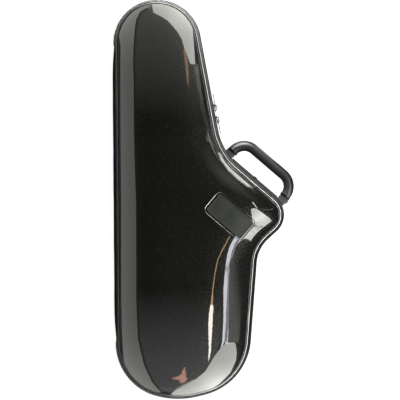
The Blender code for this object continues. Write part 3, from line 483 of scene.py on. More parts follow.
def rim_band(name, rim, section, surface, lid, stations=None, sharp=None):
    """A closed section of (offset, height) pairs carried round the rim, or along some stations."""
    mid, side = rim.shell.mid_height, 1.0 if lid else -1.0
    rows = []
    for index in range(len(rim.points)) if stations is None else stations:
        point, normal = rim.points[index], rim.normals[index]
        rows.append([(*(point + normal * offset), mid + side * height) for offset, height in section])
    return lofted(name, rows, surface, around=stations is None, sharp=sharp)


def round_section(centre, radius, count):
    angles = np.linspace(0, 2 * math.pi, count, endpoint=False)
    return [(centre[0] + radius * math.cos(a), centre[1] + radius * math.sin(a)) for a in angles]


def joined_blocks(name, blocks, surface):
    """Many small closed shapes in one mesh. Each block is its points and faces."""
    verts, faces = [], []
    for points, rings in blocks:
        start = len(verts)
        verts += points
        faces += [[start + index for index in ring] for ring in rings]
    return outward_faces(object_from(name, verts, faces, surface, sharp=40))


def rim_axes(normal):
    """The ways along the rim and outward, from an outward normal."""
    return np.array((-normal[1], normal[0], 0.0)), np.array((*normal, 0.0))


def rounded_block(centre, normal, sizes, chamfer):
    """A block along the rim with its long edges taken off: eight sides round its length."""
    along, outward = rim_axes(normal)
    half_long, half_out, half_up = (size / 2 for size in sizes)
    ring = [
        (half_out - chamfer, half_up),
        (half_out, half_up - chamfer),
        (half_out, chamfer - half_up),
        (half_out - chamfer, -half_up),
        (chamfer - half_out, -half_up),
        (-half_out, chamfer - half_up),
        (-half_out, half_up - chamfer),
        (chamfer - half_out, half_up),
    ]
    points = [
        tuple(centre + along * end + outward * out + UP * rise)
        for end in (-half_long, half_long)
        for out, rise in ring
    ]
    rings = [[index, (index + 1) % 8, 8 + (index + 1) % 8, 8 + index] for index in range(8)]
    return points, rings + [list(range(7, -1, -1)), list(range(8, 16))]


def apply_modifiers(obj):
    graph = bpy.context.evaluated_depsgraph_get()
    graph.update()
    mesh = bpy.data.meshes.new_from_object(obj.evaluated_get(graph))
    obj.modifiers.clear()
    obj.data = mesh


def stitch_row(name, rim, offset, height, lid, surface, pitch, first, last):
    """Short threads laid end to end beside a seam."""
    mid, side = rim.shell.mid_height, 1.0 if lid else -1.0
    blocks = []
    for place, normal in zip(*rim.spaced(pitch, first, last, offset)):
        centre = np.array((*place, mid + side * height))
        blocks.append(rounded_block(centre, normal, (pitch * 0.68, 0.0006, 0.0006), 0.0002))
    return joined_blocks(name, blocks, surface)


# Shader helpers and shared effects

class Nodes:
    """Short calls for building one node tree."""

    def __init__(self, tree):
        self.tree = tree

    def add(self, kind, inputs=None, **values):
        node = self.tree.nodes.new(kind)
        for name, value in values.items():
            setattr(node, name, value)
        for name, value in (inputs or {}).items():
            self.give(node.inputs[name], value)
        return node

    def give(self, socket, value):
        if isinstance(value, bpy.types.NodeSocket):
            self.tree.links.new(value, socket)
        else:
            socket.default_value = value

    def math(self, operation, first, second=0.0, third=0.0):
        node = self.add("ShaderNodeMath", operation=operation)
        for socket, value in zip(node.inputs, (first, second, third)):
            self.give(socket, value)
        return node.outputs[0]

    def vector(self, operation, first, second=(0.0, 0.0, 0.0)):
        node = self.add("ShaderNodeVectorMath", operation=operation)
        self.give(node.inputs[0], first)
        self.give(node.inputs[1], second)
        return node.outputs[0]

    def ramp(self, value, low, high, to_low=0.0, to_high=1.0):
        node = self.add("ShaderNodeMapRange", interpolation_type="SMOOTHSTEP")
        names = ("Value", "From Min", "From Max", "To Min", "To Max")
        for name, given in zip(names, (value, low, high, to_low, to_high)):
            self.give(node.inputs[name], given)
        return node.outputs[0]

    def mix(self, share, first, second):
        node = self.add("ShaderNodeMix", data_type="RGBA")
        self.give(node.inputs[0], share)
        self.give(node.inputs[6], first)
        self.give(node.inputs[7], second)
        return node.outputs[2]

    def noise(self, place, scale, detail=2.0, roughness=0.5):
        inputs = {"Vector": place, "Scale": scale, "Detail": detail, "Roughness": roughness}
        return self.add("ShaderNodeTexNoise", inputs).outputs["Fac"]


def effect(name, inputs, outputs, build):
    """A shader node group with named inputs and outputs, built once."""
    tree = bpy.data.node_groups.get(name)
    if tree:
        return tree
    tree = bpy.data.node_groups.new(name, "ShaderNodeTree")
    for label, default in inputs:
        kind = "NodeSocketVector" if label == "Place" else "NodeSocketFloat"
        socket = tree.interface.new_socket(label, in_out="INPUT", socket_type=kind)
        if kind == "NodeSocketFloat":
            socket.default_value = default
    for label in outputs:
        tree.interface.new_socket(label, in_out="OUTPUT", socket_type="NodeSocketFloat")
    nodes = Nodes(tree)
    given = nodes.add("NodeGroupInput").outputs
    put_out = nodes.add("NodeGroupOutput")
    for label, value in build(nodes, given).items():
        nodes.give(put_out.inputs[label], value)
    return tree


def grain_effect():
    """Fine moulded grain with slow drift in tone."""

    def build(nodes, given):
        fine = nodes.noise(given["Place"], given["Fineness"], 4.0, 0.6)
        slow = nodes.noise(given["Place"], nodes.math("MULTIPLY", given["Fineness"], 0.03), 2.0)
        tone = nodes.math("MULTIPLY_ADD", fine, 0.6, nodes.math("MULTIPLY", slow, 0.4))
        return {"Tone": tone, "Height": fine}

    return effect("moulded grain", (("Place", None), ("Fineness", 1500.0)), ("Tone", "Height"), build)


def fleck_effect():
    """Metal flakes of a few sizes, each with its own brightness."""

    def build(nodes, given):
        outputs = []
        for share in (1.0, 0.43):
            cells = nodes.add(
                "ShaderNodeTexVoronoi",
                {
                    "Vector": given["Place"],
                    "Scale": nodes.math("MULTIPLY", given["Fineness"], share),
                    "Randomness": 1.0,
                },
            )
            single = nodes.add("ShaderNodeSeparateColor", {"Color": cells.outputs["Color"]})
            outputs.append((single.outputs[0], single.outputs[1]))
        (small, tilt), (large, _) = outputs
        bright = nodes.ramp(small, given["Rarity"], 1.0)
        patch = nodes.ramp(large, 0.35, 1.0, 0.25, 1.0)
        return {"Fleck": nodes.math("MULTIPLY", bright, patch), "Tilt": tilt}

    inputs = (("Place", None), ("Fineness", 1300.0), ("Rarity", 0.45))
    return effect("metal fleck", inputs, ("Fleck", "Tilt"), build)


def weave_effect():
    """Plain weave laid along the surface: threads over and under each other. Its Shade is painted shade,
    darker in the hollows between the threads and lighter on their tops, mixed with random fuzz.
    """

    def build(nodes, given):
        place = nodes.add("ShaderNodeSeparateXYZ", {"Vector": given["Place"]}).outputs
        turns = [
            nodes.math("MULTIPLY", nodes.math("DIVIDE", place[axis], given[pitch]), math.pi)
            for axis, pitch in ((0, "Pitch Along"), (1, "Pitch Across"))
        ]
        waves = [nodes.math("SINE", turn) for turn in turns]
        over = nodes.math("MULTIPLY", waves[0], waves[1])
        warp = nodes.math("ABSOLUTE", waves[1])
        weft = nodes.math("ABSOLUTE", waves[0])
        which = nodes.ramp(over, -0.15, 0.15)
        height = nodes.add("ShaderNodeMix", {0: which, 2: warp, 3: weft}, data_type="FLOAT").outputs[0]
        fuzz = nodes.noise(given["Place"], 2600.0, 3.0)
        shade = nodes.math("MULTIPLY_ADD", height, 0.7, nodes.math("MULTIPLY", fuzz, 0.3))
        return {"Height": height, "Shade": shade}

    inputs = (("Place", None), ("Pitch Along", 0.0009), ("Pitch Across", 0.0009))
    return effect("plain weave", inputs, ("Height", "Shade"), build)


def wear_effect():
    """Dust and handling marks in drifts, with fine scuffs inside them."""

    def build(nodes, given):
        drift = nodes.ramp(nodes.noise(given["Place"], 11.0, 3.0), 0.52, 0.78)
        stretched = nodes.vector("MULTIPLY", given["Place"], (1.0, 0.22, 1.0))
        scuffs = nodes.ramp(nodes.noise(stretched, 900.0, 3.0, 0.65), 0.55, 0.72)
        marks = nodes.math("MULTIPLY", drift, scuffs)
        return {"Mask": nodes.math("MULTIPLY", marks, given["Amount"])}

    return effect("handling marks", (("Place", None), ("Amount", 0.5)), ("Mask",), build)


class Finish:
    """One material: a Principled shader with its colour, roughness and bump built from effects."""

    def __init__(self, name, roughness, metallic=0.0, **sockets):
        self.material = bpy.data.materials.new(name)
        self.material.use_nodes = True
        self.nodes = Nodes(self.material.node_tree)
        self.shader = self.material.node_tree.nodes["Principled BSDF"]
        self.set(Roughness=roughness, Metallic=metallic, **sockets)
        self.places = self.nodes.add("ShaderNodeTexCoord").outputs

    def set(self, **sockets):
        for name, value in sockets.items():
            self.nodes.give(self.shader.inputs[name.replace("_", " ")], value)

    def effect(self, tree, place="Object", **values):
        node = self.nodes.add("ShaderNodeGroup", node_tree=tree)
        self.nodes.give(node.inputs["Place"], self.places[place])
        for name, value in values.items():
            node.inputs[name.replace("_", " ")].default_value = value
        return node.outputs

    def bump(self, height, strength, distance):
        inputs = {"Height": height, "Strength": strength, "Distance": distance}
        self.set(Normal=self.nodes.add("ShaderNodeBump", inputs).outputs["Normal"])


def rgba(colour, scale=1.0):
    return (*[min(1.0, value * scale) for value in colour], 1.0)


def shell_finish(colours):
    finish = Finish("graphite gloss", 0.42, Coat_Weight=1.0, Coat_Roughness=0.03)
    finish.set(Coat_IOR=settings().stage.coat_ior, Specular_IOR_Level=0.2)
    nodes = finish.nodes
    fleck = finish.effect(fleck_effect(), Fineness=1250.0, Rarity=0.62)
    marks = finish.effect(wear_effect(), Amount=0.25)
    base = nodes.mix(fleck["Fleck"], rgba(colours.shell), rgba(colours.fleck))
    dusted = nodes.mix(nodes.math("MULTIPLY", marks["Mask"], 0.10), base, (0.2, 0.2, 0.19, 1.0))
    finish.set(Base_Color=dusted, Metallic=nodes.math("MULTIPLY_ADD", fleck["Fleck"], 0.6, 0.10))
    finish.set(Roughness=nodes.math("MULTIPLY_ADD", fleck["Tilt"], 0.25, 0.30))
    finish.bump(fleck["Tilt"], 0.06, 0.0004)
    return finish.material


# Painted highlight: the lip's light grey stands in for the bright line of light along the flange.
def lip_highlight_finish(colours):
    finish = Finish("lip with painted highlight", 0.38, 0.2)
    nodes = finish.nodes
    grain = finish.effect(grain_effect(), Fineness=700.0)
    tone = nodes.ramp(grain["Tone"], 0.35, 0.65)
    finish.set(Base_Color=nodes.mix(tone, rgba(colours.lip, 0.8), rgba(colours.lip)))
    finish.set(Roughness=nodes.math("MULTIPLY_ADD", grain["Tone"], 0.2, 0.22))
    return finish.material


def moulded_finish(name, tint, roughness, fineness, strength, contrast=0.5, shine=0.25):
    """Moulded rubber or plastic: fine grain, slow drift in tone and a little handling."""
    finish = Finish(name, roughness)
    nodes = finish.nodes
    grain = finish.effect(grain_effect(), Fineness=fineness)
    marks = finish.effect(wear_effect(), Amount=0.6)
    tone = nodes.ramp(grain["Tone"], 0.30, 0.70)
    dark, light = rgba(tint, 1 - contrast / 2), rgba(tint, 1 + contrast / 2)
    body = nodes.mix(tone, dark, light)
    worn = nodes.mix(nodes.math("MULTIPLY", marks["Mask"], 0.25), body, rgba(tint, 5.0))
    finish.set(Base_Color=worn)
    finish.set(Roughness=nodes.math("MULTIPLY_ADD", grain["Tone"], 0.25, roughness - 0.12))
    finish.bump(grain["Height"], strength, 0.0002)
    finish.set(Specular_IOR_Level=shine)
    return finish.material


def woven_finish(name, tint, pitch, strength, stretch=1.0):
    """Woven nylon: threads along and across the surface, with fuzz between them."""
    finish = Finish(name, WOVEN_ROUGHNESS)
    nodes = finish.nodes
    weave = finish.effect(weave_effect(), place="UV", Pitch_Along=pitch * stretch, Pitch_Across=pitch)
    marks = finish.effect(wear_effect(), Amount=0.8)
    # Painted shade: the weave's hollows are darkened and the thread tops lightened, over the fuzz's random
    # tone.
    body = nodes.mix(weave["Shade"], rgba(tint, 0.22), rgba(tint, 1.6))
    dusted = nodes.mix(nodes.math("MULTIPLY", marks["Mask"], 0.2), body, rgba(tint, 4.0))
    finish.set(Base_Color=dusted)
    finish.set(Roughness=nodes.math("MULTIPLY_ADD", weave["Shade"], -0.15, WOVEN_ROUGHNESS + 0.08))
    finish.bump(weave["Height"], strength, pitch * 0.45)
    finish.set(Specular_IOR_Level=0.15)
    return finish.material


def plush_finish(colours):
    finish = Finish("plush lining", 0.95, Sheen_Weight=0.6, Sheen_Roughness=0.5)
    nodes = finish.nodes
    pile = nodes.noise(finish.places["Object"], 2200.0, 4.0, 0.7)
    stroked = nodes.noise(finish.places["Object"], 38.0, 3.0)
    tone = nodes.math("MULTIPLY_ADD", pile, 0.6, nodes.math("MULTIPLY", stroked, 0.5))
    finish.set(Base_Color=nodes.mix(tone, rgba(colours.plush, 0.35), rgba(colours.plush, 2.2)))
    finish.set(Roughness=nodes.math("MULTIPLY_ADD", stroked, 0.1, 0.85))
    finish.bump(pile, 0.7, 0.0008)
    return finish.material


def metal_finish(colours):
    finish = Finish("black nickel fittings", 0.3, 1.0)
    nodes = finish.nodes
    grain = finish.effect(grain_effect(), Fineness=900.0)
    marks = finish.effect(wear_effect(), Amount=1.0)
    tone = nodes.ramp(grain["Tone"], 0.3, 0.7)
    body = nodes.mix(tone, rgba(colours.metal, 0.7), rgba(colours.metal, 1.3))
    finish.set(Base_Color=nodes.mix(marks["Mask"], body, rgba(colours.metal, 5.0)))
    finish.set(Roughness=nodes.math("MULTIPLY_ADD", grain["Tone"], 0.3, 0.15))
    finish.bump(grain["Height"], 0.12, 0.0001)
    return finish.material


def finish(name):
    """The finish of that name, made the first time that a piece asks for it."""
    found = bpy.data.materials.get(name)
    if found:
        return found
    colours = settings().colours
    moulded = {
        "piping rubber": (colours.piping, 0.42, 1600.0, 0.15),
        "tooth nylon": (colours.tooth, 0.40, 2500.0, 0.15),
        "grip rubber": (colours.grip, 0.32, 2200.0, 0.10, 0.5, 0.5),
        "badge rubber": (colours.badge, 0.62, 900.0, 0.45, 0.9),
        "seam thread": (colours.thread, 0.6, 3000.0, 0.3),
    }
    woven = {
        "zip tape weave": (colours.tape, 0.0008, 0.7),
        "hinge weave": (colours.hinge, 0.0010, 0.6),
        "ribbed webbing": (colours.webbing, 0.0013, 0.9, 0.8),
    }
    others = {
        "graphite gloss": shell_finish,
        "lip with painted highlight": lip_highlight_finish,
        "plush lining": plush_finish,
        "black nickel fittings": metal_finish,
    }
    if name in moulded:
        return moulded_finish(name, *moulded[name])
    if name in woven:
        return woven_finish(name, *woven[name])
    return others[name](colours)


# Shells

def crown_grid(rim, ring):
    """A close grid of places inside a ring."""
    step = rim.shell.crown_step
    low, high = ring.min(axis=0), ring.max(axis=0)
    row_step = step * math.sqrt(3) / 2
    places = []
    for row, y in enumerate(np.arange(low[1] + row_step / 2, high[1], row_step)):
        shift = step / 2 if row % 2 else 0.0
        places += [(x, y) for x in np.arange(low[0] + shift, high[0], step)]
    places = np.array(places)
    within, nearest = rim.inside(places, ring)
    return places[within & (nearest > step * 0.5)]


def shell_piece(name, rim, lid):
    """One moulded shell: rolled flange, foot fillet, wall and crown, with its inner face."""
    shell, count = rim.shell, len(rim.points)
    side = 1.0 if lid else -1.0
    mid, foot, flange = shell.mid_height, shell.foot_offset, shell.flange_height
    reach, roundness = rim.rounding(lid)
    section = [
        (-0.00535, flange),
        (-foot + 0.0012, flange),
        (-foot + 0.0005, flange + 0.0003),
        (-foot + 0.0001, flange + 0.0007),
    ]
    rows = [
        np.column_stack((rim.points + rim.normals * offset, np.full(count, mid + side * height)))
        for offset, height in section
    ]
    places = []
    for angle in LID_ANGLES if lid else BACK_ANGLES:
        inset = reach * (1 - math.cos(math.radians(angle)) ** (2 / roundness))
        places.append(rim.points - rim.normals * (foot + inset))
    crown = crown_grid(rim, places[-1])
    flat = np.vstack((*places, crown))
    heights = rim.height(flat, lid)
    heights[:count] = shell.foot_height
    slopes = rim.slope_normals(flat, lid)
    upright = np.column_stack((rim.normals, np.zeros(count)))
    slopes[:count] = upright
    outer = np.vstack((*rows, np.column_stack((flat, mid + side * heights))))
    up = np.tile((0.0, 0.0, side), (count, 1))
    tilted = unit(upright + up)
    normals = np.vstack((up, up, tilted, (tilted + upright) / 1.85, slopes))
    total_rows = len(rows) + len(places)
    faces = []
    for row in range(total_rows - 1):
        for index in range(count):
            following = (index + 1) % count
            quad = [row * count + index, row * count + following]
            quad += [(row + 1) * count + following, (row + 1) * count + index]
            faces.append(quad)
    base = (total_rows - 1) * count
    inside = [Vector(place) for place in np.vstack((places[-1], crown))]
    _, _, triangles, sources = delaunay_2d_cdt(inside, [], [list(range(count))], 1, 1e-6)[:4]
    faces += [[base + sources[index][0] for index in triangle] for triangle in triangles]
    facing = []
    for face in faces:
        a, b, c = (outer[index] for index in face[:3])
        across = np.cross(b - a, c - a)
        wanted = normals[face[0]] + normals[face[1]] + normals[face[2]]
        facing.append(face if across @ wanted > 0 else face[::-1])
    shift = len(outer)
    inner_faces = [[shift + index for index in face[::-1]] for face in facing]
    edge = []
    for index in range(count):
        following = (index + 1) % count
        quad = [index, shift + index, shift + following, following]
        edge.append(quad if lid else quad[::-1])
    verts = np.vstack((outer, outer - normals * shell.wall))
    piece_normals = np.vstack((normals, -normals))
    return object_from(
        name, verts, facing + inner_faces + edge, finish("graphite gloss"), normals=piece_normals
    )


def build_shells():
    """The lid and the back, each with a lip along its flange that a lamp lights and whose light grey is a
    painted highlight.
    """
    rim = Rim(settings().shell)
    for name, lid, body, node in (
        ("lid_shell", True, "lid", "front_shell"),
        ("back_shell_moulding", False, "base", "back_shell"),
    ):
        piece = shell_piece(name, rim, lid)
        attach(piece, body)
        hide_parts(node)
    # Each lip is painted light grey as a highlight along the flange.
    radius = rim.shell.lip_radius
    section = round_section((-0.0055, rim.shell.flange_height + radius * 0.7), radius, 14)
    for half, lid, body, _ in HALVES:
        lip = rim_band(f"{half}_lip", rim, section, finish("lip with painted highlight"), lid)
        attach(lip, body)


# Zip band

def build_zip():
    """The piping, the woven tapes with their stitches, and a row of teeth on each half."""
    case = settings()
    rim, band = Rim(case.shell), case.zip
    stations = rim.zip_stations()
    last = stations[-1]
    cord = round_section((-0.0040, case.shell.flange_height + 0.0010), band.piping_radius, 14)
    outer = [(-0.0042, 0.0122), (-0.0026, 0.0106), (-0.0017, 0.0080), (-0.0012, 0.0054), (-0.0010, 0.0034)]
    inner = [(x - band.tape_thickness, y) for x, y in outer[::-1]]
    for half, lid, body, source in HALVES:
        piping = rim_band(f"{half}_piping", rim, cord, finish("piping rubber"), lid)
        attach(piping, body)
        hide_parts(f"{source}_edge_piping")
        weave = finish("zip tape weave")
        tape = rim_band(f"{half}_zip_tape", rim, outer + inner, weave, lid, stations, sharp=50)
        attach(tape, body)
        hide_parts(f"{source}_zipper_tape")
        thread, name = finish("seam thread"), f"{half}_tape_stitches"
        seam = stitch_row(name, rim, -0.0016, 0.0090, lid, thread, band.stitch_pitch, 0, last)
        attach(seam, body)
        teeth = zip_teeth(f"{half}_zip_teeth", rim, band, 1.0 if lid else -1.0, last)
        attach(teeth, body)
        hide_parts(f"{source}_zipper_coil")


def zip_teeth(name, rim, band, side, last):
    """Rounded teeth of one half, set half a pitch from the other half's, on a sewn cord."""
    tooth = (band.tooth_length * 0.9, 0.0024, 0.0040)
    root = (band.tooth_pitch * 0.92, 0.0016, 0.0011)
    blocks = []
    for place, normal in zip(*rim.spaced(band.tooth_pitch, 0, last, -0.0006)):
        shift = rim_axes(normal)[0] * side * band.tooth_pitch / 4
        centre = np.array((*place, rim.shell.mid_height + side * 0.00125)) + shift
        blocks.append(rounded_block(centre, normal, tooth, 0.0006))
        blocks.append(rounded_block(centre + UP * side * 0.0016, normal, root, 0.0003))
    return joined_blocks(name, blocks, finish("tooth nylon"))


def build_hinge():
    """The bulging black fabric along the straight side."""
    case = settings()
    rim, band = Rim(case.shell), case.zip
    stations = rim.zip_stations()
    first, last = stations[-1], len(rim.points)
    frame_matrix = rim.side(HINGE_SIDE, 0.5)
    corners = [rim.corners[index][0] for index in HINGE_SIDE]
    side_length = float(np.linalg.norm(corners[1] - corners[0]))
    margin, run_in = 0.005, 0.05
    low = rim.tangents[HINGE_SIDE[0]][0] - side_length / 2 + margin
    high = side_length / 2 - rim.tangents[HINGE_SIDE[1]][0] - margin
    bulge = band.hinge_bulge
    profile = [(-0.0046, 0.0124), (-0.0030, 0.0118), (-0.0008, 0.0108), (0.0014, 0.0092)]
    profile += [(bulge * 0.86, 0.0068), (bulge * 0.98, 0.0036), (bulge, 0.0012)]
    profile = profile + [(x, -y) for x, y in profile[::-1]]
    smooth_profile = curve_through(profile, 30)
    outline = thickened(smooth_profile, FABRIC_THICKNESS)
    rows = []
    for x in np.linspace(low, high, 90):
        ripple = 0.95 + 0.03 * math.sin(x * 61.0) + 0.02 * math.sin(x * 143.0 + 1.0)
        taper = math.sin(min(1.0, (x - low) / run_in, (high - x) / run_in) * math.pi / 2)
        row = []
        for offset, height in outline:
            kept = offset - max(0.0, offset + 0.0010) * (1 - ripple * taper)
            row.append(tuple(frame_matrix @ Vector((x, kept, height))))
        rows.append(row)
    fabric = lofted("hinge_fabric", rows, finish("hinge weave"), sharp=55)
    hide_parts(*FLAP_NODES)
    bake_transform(fabric)
    for half, lid, body, _ in HALVES:
        thread, name = finish("seam thread"), f"{half}_hinge_stitches"
        seam = stitch_row(name, rim, -0.0012, 0.01145, lid, thread, band.stitch_pitch, first, last - 1)
        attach(seam, body)


def curve_through(points, count):
    """Even places along a smooth line through a few points."""
    points = np.array(points, float)
    along = run_along(points)
    line = read_at(np.linspace(0, along[-1], count), along, points)
    for _ in range(3):
        line[1:-1] = (line[:-2] + 2 * line[1:-1] + line[2:]) / 4
    return [tuple(place) for place in line]


def thickened(line, thickness):
    """A closed outline: the line, then the line moved to its inner side."""
    points = np.array(line, float)
    tangents = unit(np.gradient(points, axis=0))
    inner = points + np.stack((tangents[:, 1], -tangents[:, 0]), axis=1) * thickness
    return [tuple(place) for place in points] + [tuple(place) for place in inner[::-1]]


# Lining

def wall_pad(rim, lid, near=0.0003, deep=0.0055):
    """Foam all round a shell's wall, where the saxophone's hollow comes close to it."""
    shell = rim.shell
    reach, roundness = rim.rounding(lid)
    insets = shell.foot_offset + reach * (1 - np.cos(np.radians(PAD_ANGLES)) ** (2 / roundness))
    flat = (rim.points[:, None, :] - insets[:, None] * rim.normals[:, None, :]).reshape(-1, 2)
    side = 1.0 if lid else -1.0
    outer = np.column_stack((flat, shell.mid_height + side * rim.height(flat, lid)))
    slopes = rim.slope_normals(flat, lid)
    near_face, deep_face = (
        (outer - slopes * (shell.wall + gap)).reshape(len(rim.points), -1, 3) for gap in (near, deep)
    )
    rows = np.concatenate((near_face, deep_face[:, ::-1]), axis=1)
    return lofted("wall_pad", rows, finish("plush lining"), around=True)


def build_lining():
    """Plush over foam in each shell, remeshed and relaxed so that every edge is soft."""
    rim = Rim(settings().shell)
    for half, lid, body, source in HALVES:
        node = f"{source}_foam_liner"
        mesh = frame["nodes"][node].data.copy()
        mesh.materials.clear()
        pad = wall_pad(rim, lid)
        joined = bmesh.new()
        joined.from_mesh(mesh)
        joined.from_mesh(pad.data)
        joined.to_mesh(mesh)
        joined.free()
        bpy.data.objects.remove(pad)
        piece = bpy.data.objects.new(f"{half}_lining", mesh)
        bpy.context.scene.collection.objects.link(piece)
        remesh = piece.modifiers.new("foam", "REMESH")
        remesh.mode = "VOXEL"
        remesh.voxel_size = LINING_VOXEL
        relax = piece.modifiers.new("soft", "SMOOTH")
        relax.iterations = 4
        relax.factor = 0.5
        apply_modifiers(piece)
        piece.data.materials.clear()
        piece.data.materials.append(finish("plush lining"))
        piece.data.shade_smooth()
        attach(piece, body)
        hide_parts(node)


# Badge plate

def rounded_rectangle(half_x, half_y, radius, per_corner=7, along=11):
    """Places round a rectangle with arcs at its corners, in even steps along each side."""
    centres = [
        (x * (half_x - radius), y * (half_y - radius)) for x, y in ((1, 1), (-1, 1), (-1, -1), (1, -1))
    ]
    points = []
    for corner, (x, y) in enumerate(centres):
        for step in range(per_corner + 1):
            angle = (corner + step / per_corner) * math.pi / 2
            points.append((x + radius * math.cos(angle), y + radius * math.sin(angle)))
        end = points[-1]
        next_x, next_y = centres[(corner + 1) % 4]
        angle = (corner + 1) * math.pi / 2
        target = (next_x + radius * math.cos(angle), next_y + radius * math.sin(angle))
        for step in range(1, along):
            share = step / along
            points.append(tuple(a + (b - a) * share for a, b in zip(end, target)))
    return points


def badge_frame(rim):
    shell = rim.shell
    matrix = rim.side(BELL_SIDE, 0)
    sizes = (shell.case_width, shell.case_length)
    x, y = ((share - 0.5) * size for share, size in zip(BADGE_SHARES, sizes))
    matrix.col[3] = (x, y, 0, 1)
    return matrix


def draped_rows(rim, matrix, rows):
    """Rows of (x, y, height) laid over the lid's crown."""
    flat = np.array([[matrix @ Vector((x, y, 0)) for x, y, _ in row] for row in rows])
    places = flat[:, :, :2].reshape(-1, 2)
    heights = rim.shell.mid_height + rim.height(places, True)
    raised = heights + np.array([[lift for _, _, lift in row] for row in rows]).ravel()
    return np.column_stack((places, raised)).reshape(len(rows), -1, 3)


def build_badge():
    """The bare rubber plate, with a rounded border, a sunk field and a ridge moulded round it."""
    case = settings()
    rim, sizes = Rim(case.shell), case.handle
    matrix = badge_frame(rim)
    half_x, half_y, corner = sizes.badge_length / 2, sizes.badge_height / 2, 0.0050
    steps = [(0.0004, -0.0002), (0.0, 0.0004), (0.0, 0.0022), (0.0003, 0.0026), (0.0008, 0.0028)]
    steps += [(0.0019, 0.0028), (0.0024, 0.0026), (0.0028, 0.0022), (0.0036, 0.00215)]
    steps += [(inset, 0.00215) for inset in (0.006, 0.009, 0.012, 0.015, 0.0170)]
    rows = []
    for inset, lift in steps:
        outline = rounded_rectangle(half_x - inset, half_y - inset, max(corner - inset, 0.0004))
        rows.append([(x, y, lift) for x, y in outline])
    plate = lofted("badge_pad", draped_rows(rim, matrix, rows), finish("badge rubber"))
    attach(plate, "lid")
    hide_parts("badge_plate")
    steps = [(0.0017, -0.0003), (0.0019, 0.0006), (0.0022, 0.0010)]
    steps += [(0.0026, 0.0010), (0.0030, 0.0006), (0.0033, -0.0003)]
    rows = []
    for spread, lift in steps:
        outline = rounded_rectangle(half_x + spread, half_y + spread, corner + spread)
        rows.append([(x, y, lift) for x, y in outline])
    columns = draped_rows(rim, matrix, rows).transpose(1, 0, 2)
    ridge = lofted("badge_ridge", columns, finish("graphite gloss"), around=True)
    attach(ridge, "lid")


# Handle

def handle_matrix(rim):
    """The handle's pivot line: X along it, Y outward, Z up."""
    frame_matrix = rim.side(BELL_SIDE, HANDLE_SHARE)
    joint = next(joint for joint in frame["joints"] if joint["name"] == "handle_pivot")
    frame_matrix.col[3] = (*joint["pos_m"], 1)
    return frame_matrix


def tube_rows(matrix, centres, radii, count):
    """Rings round a line of places in the handle's plane, set on its pivot line."""
    centres = np.array(centres, float)
    across = np.cross(unit(np.gradient(centres, axis=0)), UP)
    angles = [2 * math.pi * index / count for index in range(count)]
    rows = [
        [centre + side * radius * math.cos(a) + UP * radius * math.sin(a) for a in angles]
        for centre, side, radius in zip(centres, across, radii)
    ]
    return placed_rows(matrix, rows)


def placed_rows(matrix, rows):
    rows = np.array(rows, float)
    turn = np.array(matrix.to_3x3())
    return rows @ turn.T + np.array(matrix.translation)


def build_grip():
    """The round rubber grip with a collar and a rounded mouth at each end."""
    case = settings()
    rim, sizes = Rim(case.shell), case.handle
    matrix = handle_matrix(rim)
    base = sizes.reach - sizes.corner - BEND_SETBACK
    middle = sizes.half_span - sizes.corner
    lead = base - MOUTH_STRAIGHT
    plan = [(sizes.half_span, y) for y in np.linspace(lead, base, 6)[:-1]]
    plan += [
        (middle + sizes.corner * math.cos(a), base + sizes.corner * math.sin(a))
        for a in np.linspace(0, math.pi / 2, 22)
    ]
    plan += [(x, base + sizes.corner) for x in np.linspace(middle, -middle, 18)[1:-1]]
    plan += [
        (-middle + sizes.corner * math.cos(a), base + sizes.corner * math.sin(a))
        for a in np.linspace(math.pi / 2, math.pi, 22)
    ]
    plan += [(-sizes.half_span, y) for y in np.linspace(base, lead, 6)[1:]]
    centres = np.array([(x, y, 0.0) for x, y in plan])
    along = run_along(centres)
    ends = np.minimum(along, along[-1] - along)
    radii = np.full(len(along), sizes.grip_radius)
    radii -= 0.0011 * np.exp(-(ends / 0.0008) ** 2)
    grip = lofted("grip_rubber", tube_rows(matrix, centres, radii, 36), finish("grip rubber"), sharp=50)
    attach(grip, "handle")
    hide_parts("handle_grip")
    swells = [(-0.0003, -0.0016), (-0.0002, 0.0002), (0.0004, 0.0006)]
    swells += [(0.0028, 0.0006), (0.0034, 0.0003), (0.0036, -0.0016)]
    for name, way in (("upper", -1), ("lower", 1)):
        line = [(way * sizes.half_span, lead + step, 0.0) for step, _ in swells]
        rows = tube_rows(matrix, line, [sizes.grip_radius + swell for _, swell in swells], 36)
        collar = lofted(f"grip_collar_{name}", rows, finish("piping rubber"), sharp=50)
        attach(collar, "handle")
    seam_radius = 0.00022
    for name, side in (("grip_seam_top", 1), ("grip_seam_under", -1)):
        line = centres[4:-4] + np.array((0, 0, side * (sizes.grip_radius - seam_radius * 0.2)))
        rows = tube_rows(matrix, line, np.full(len(line), seam_radius), 6)
        seam = lofted(name, rows, finish("grip rubber"))
        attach(seam, "handle")


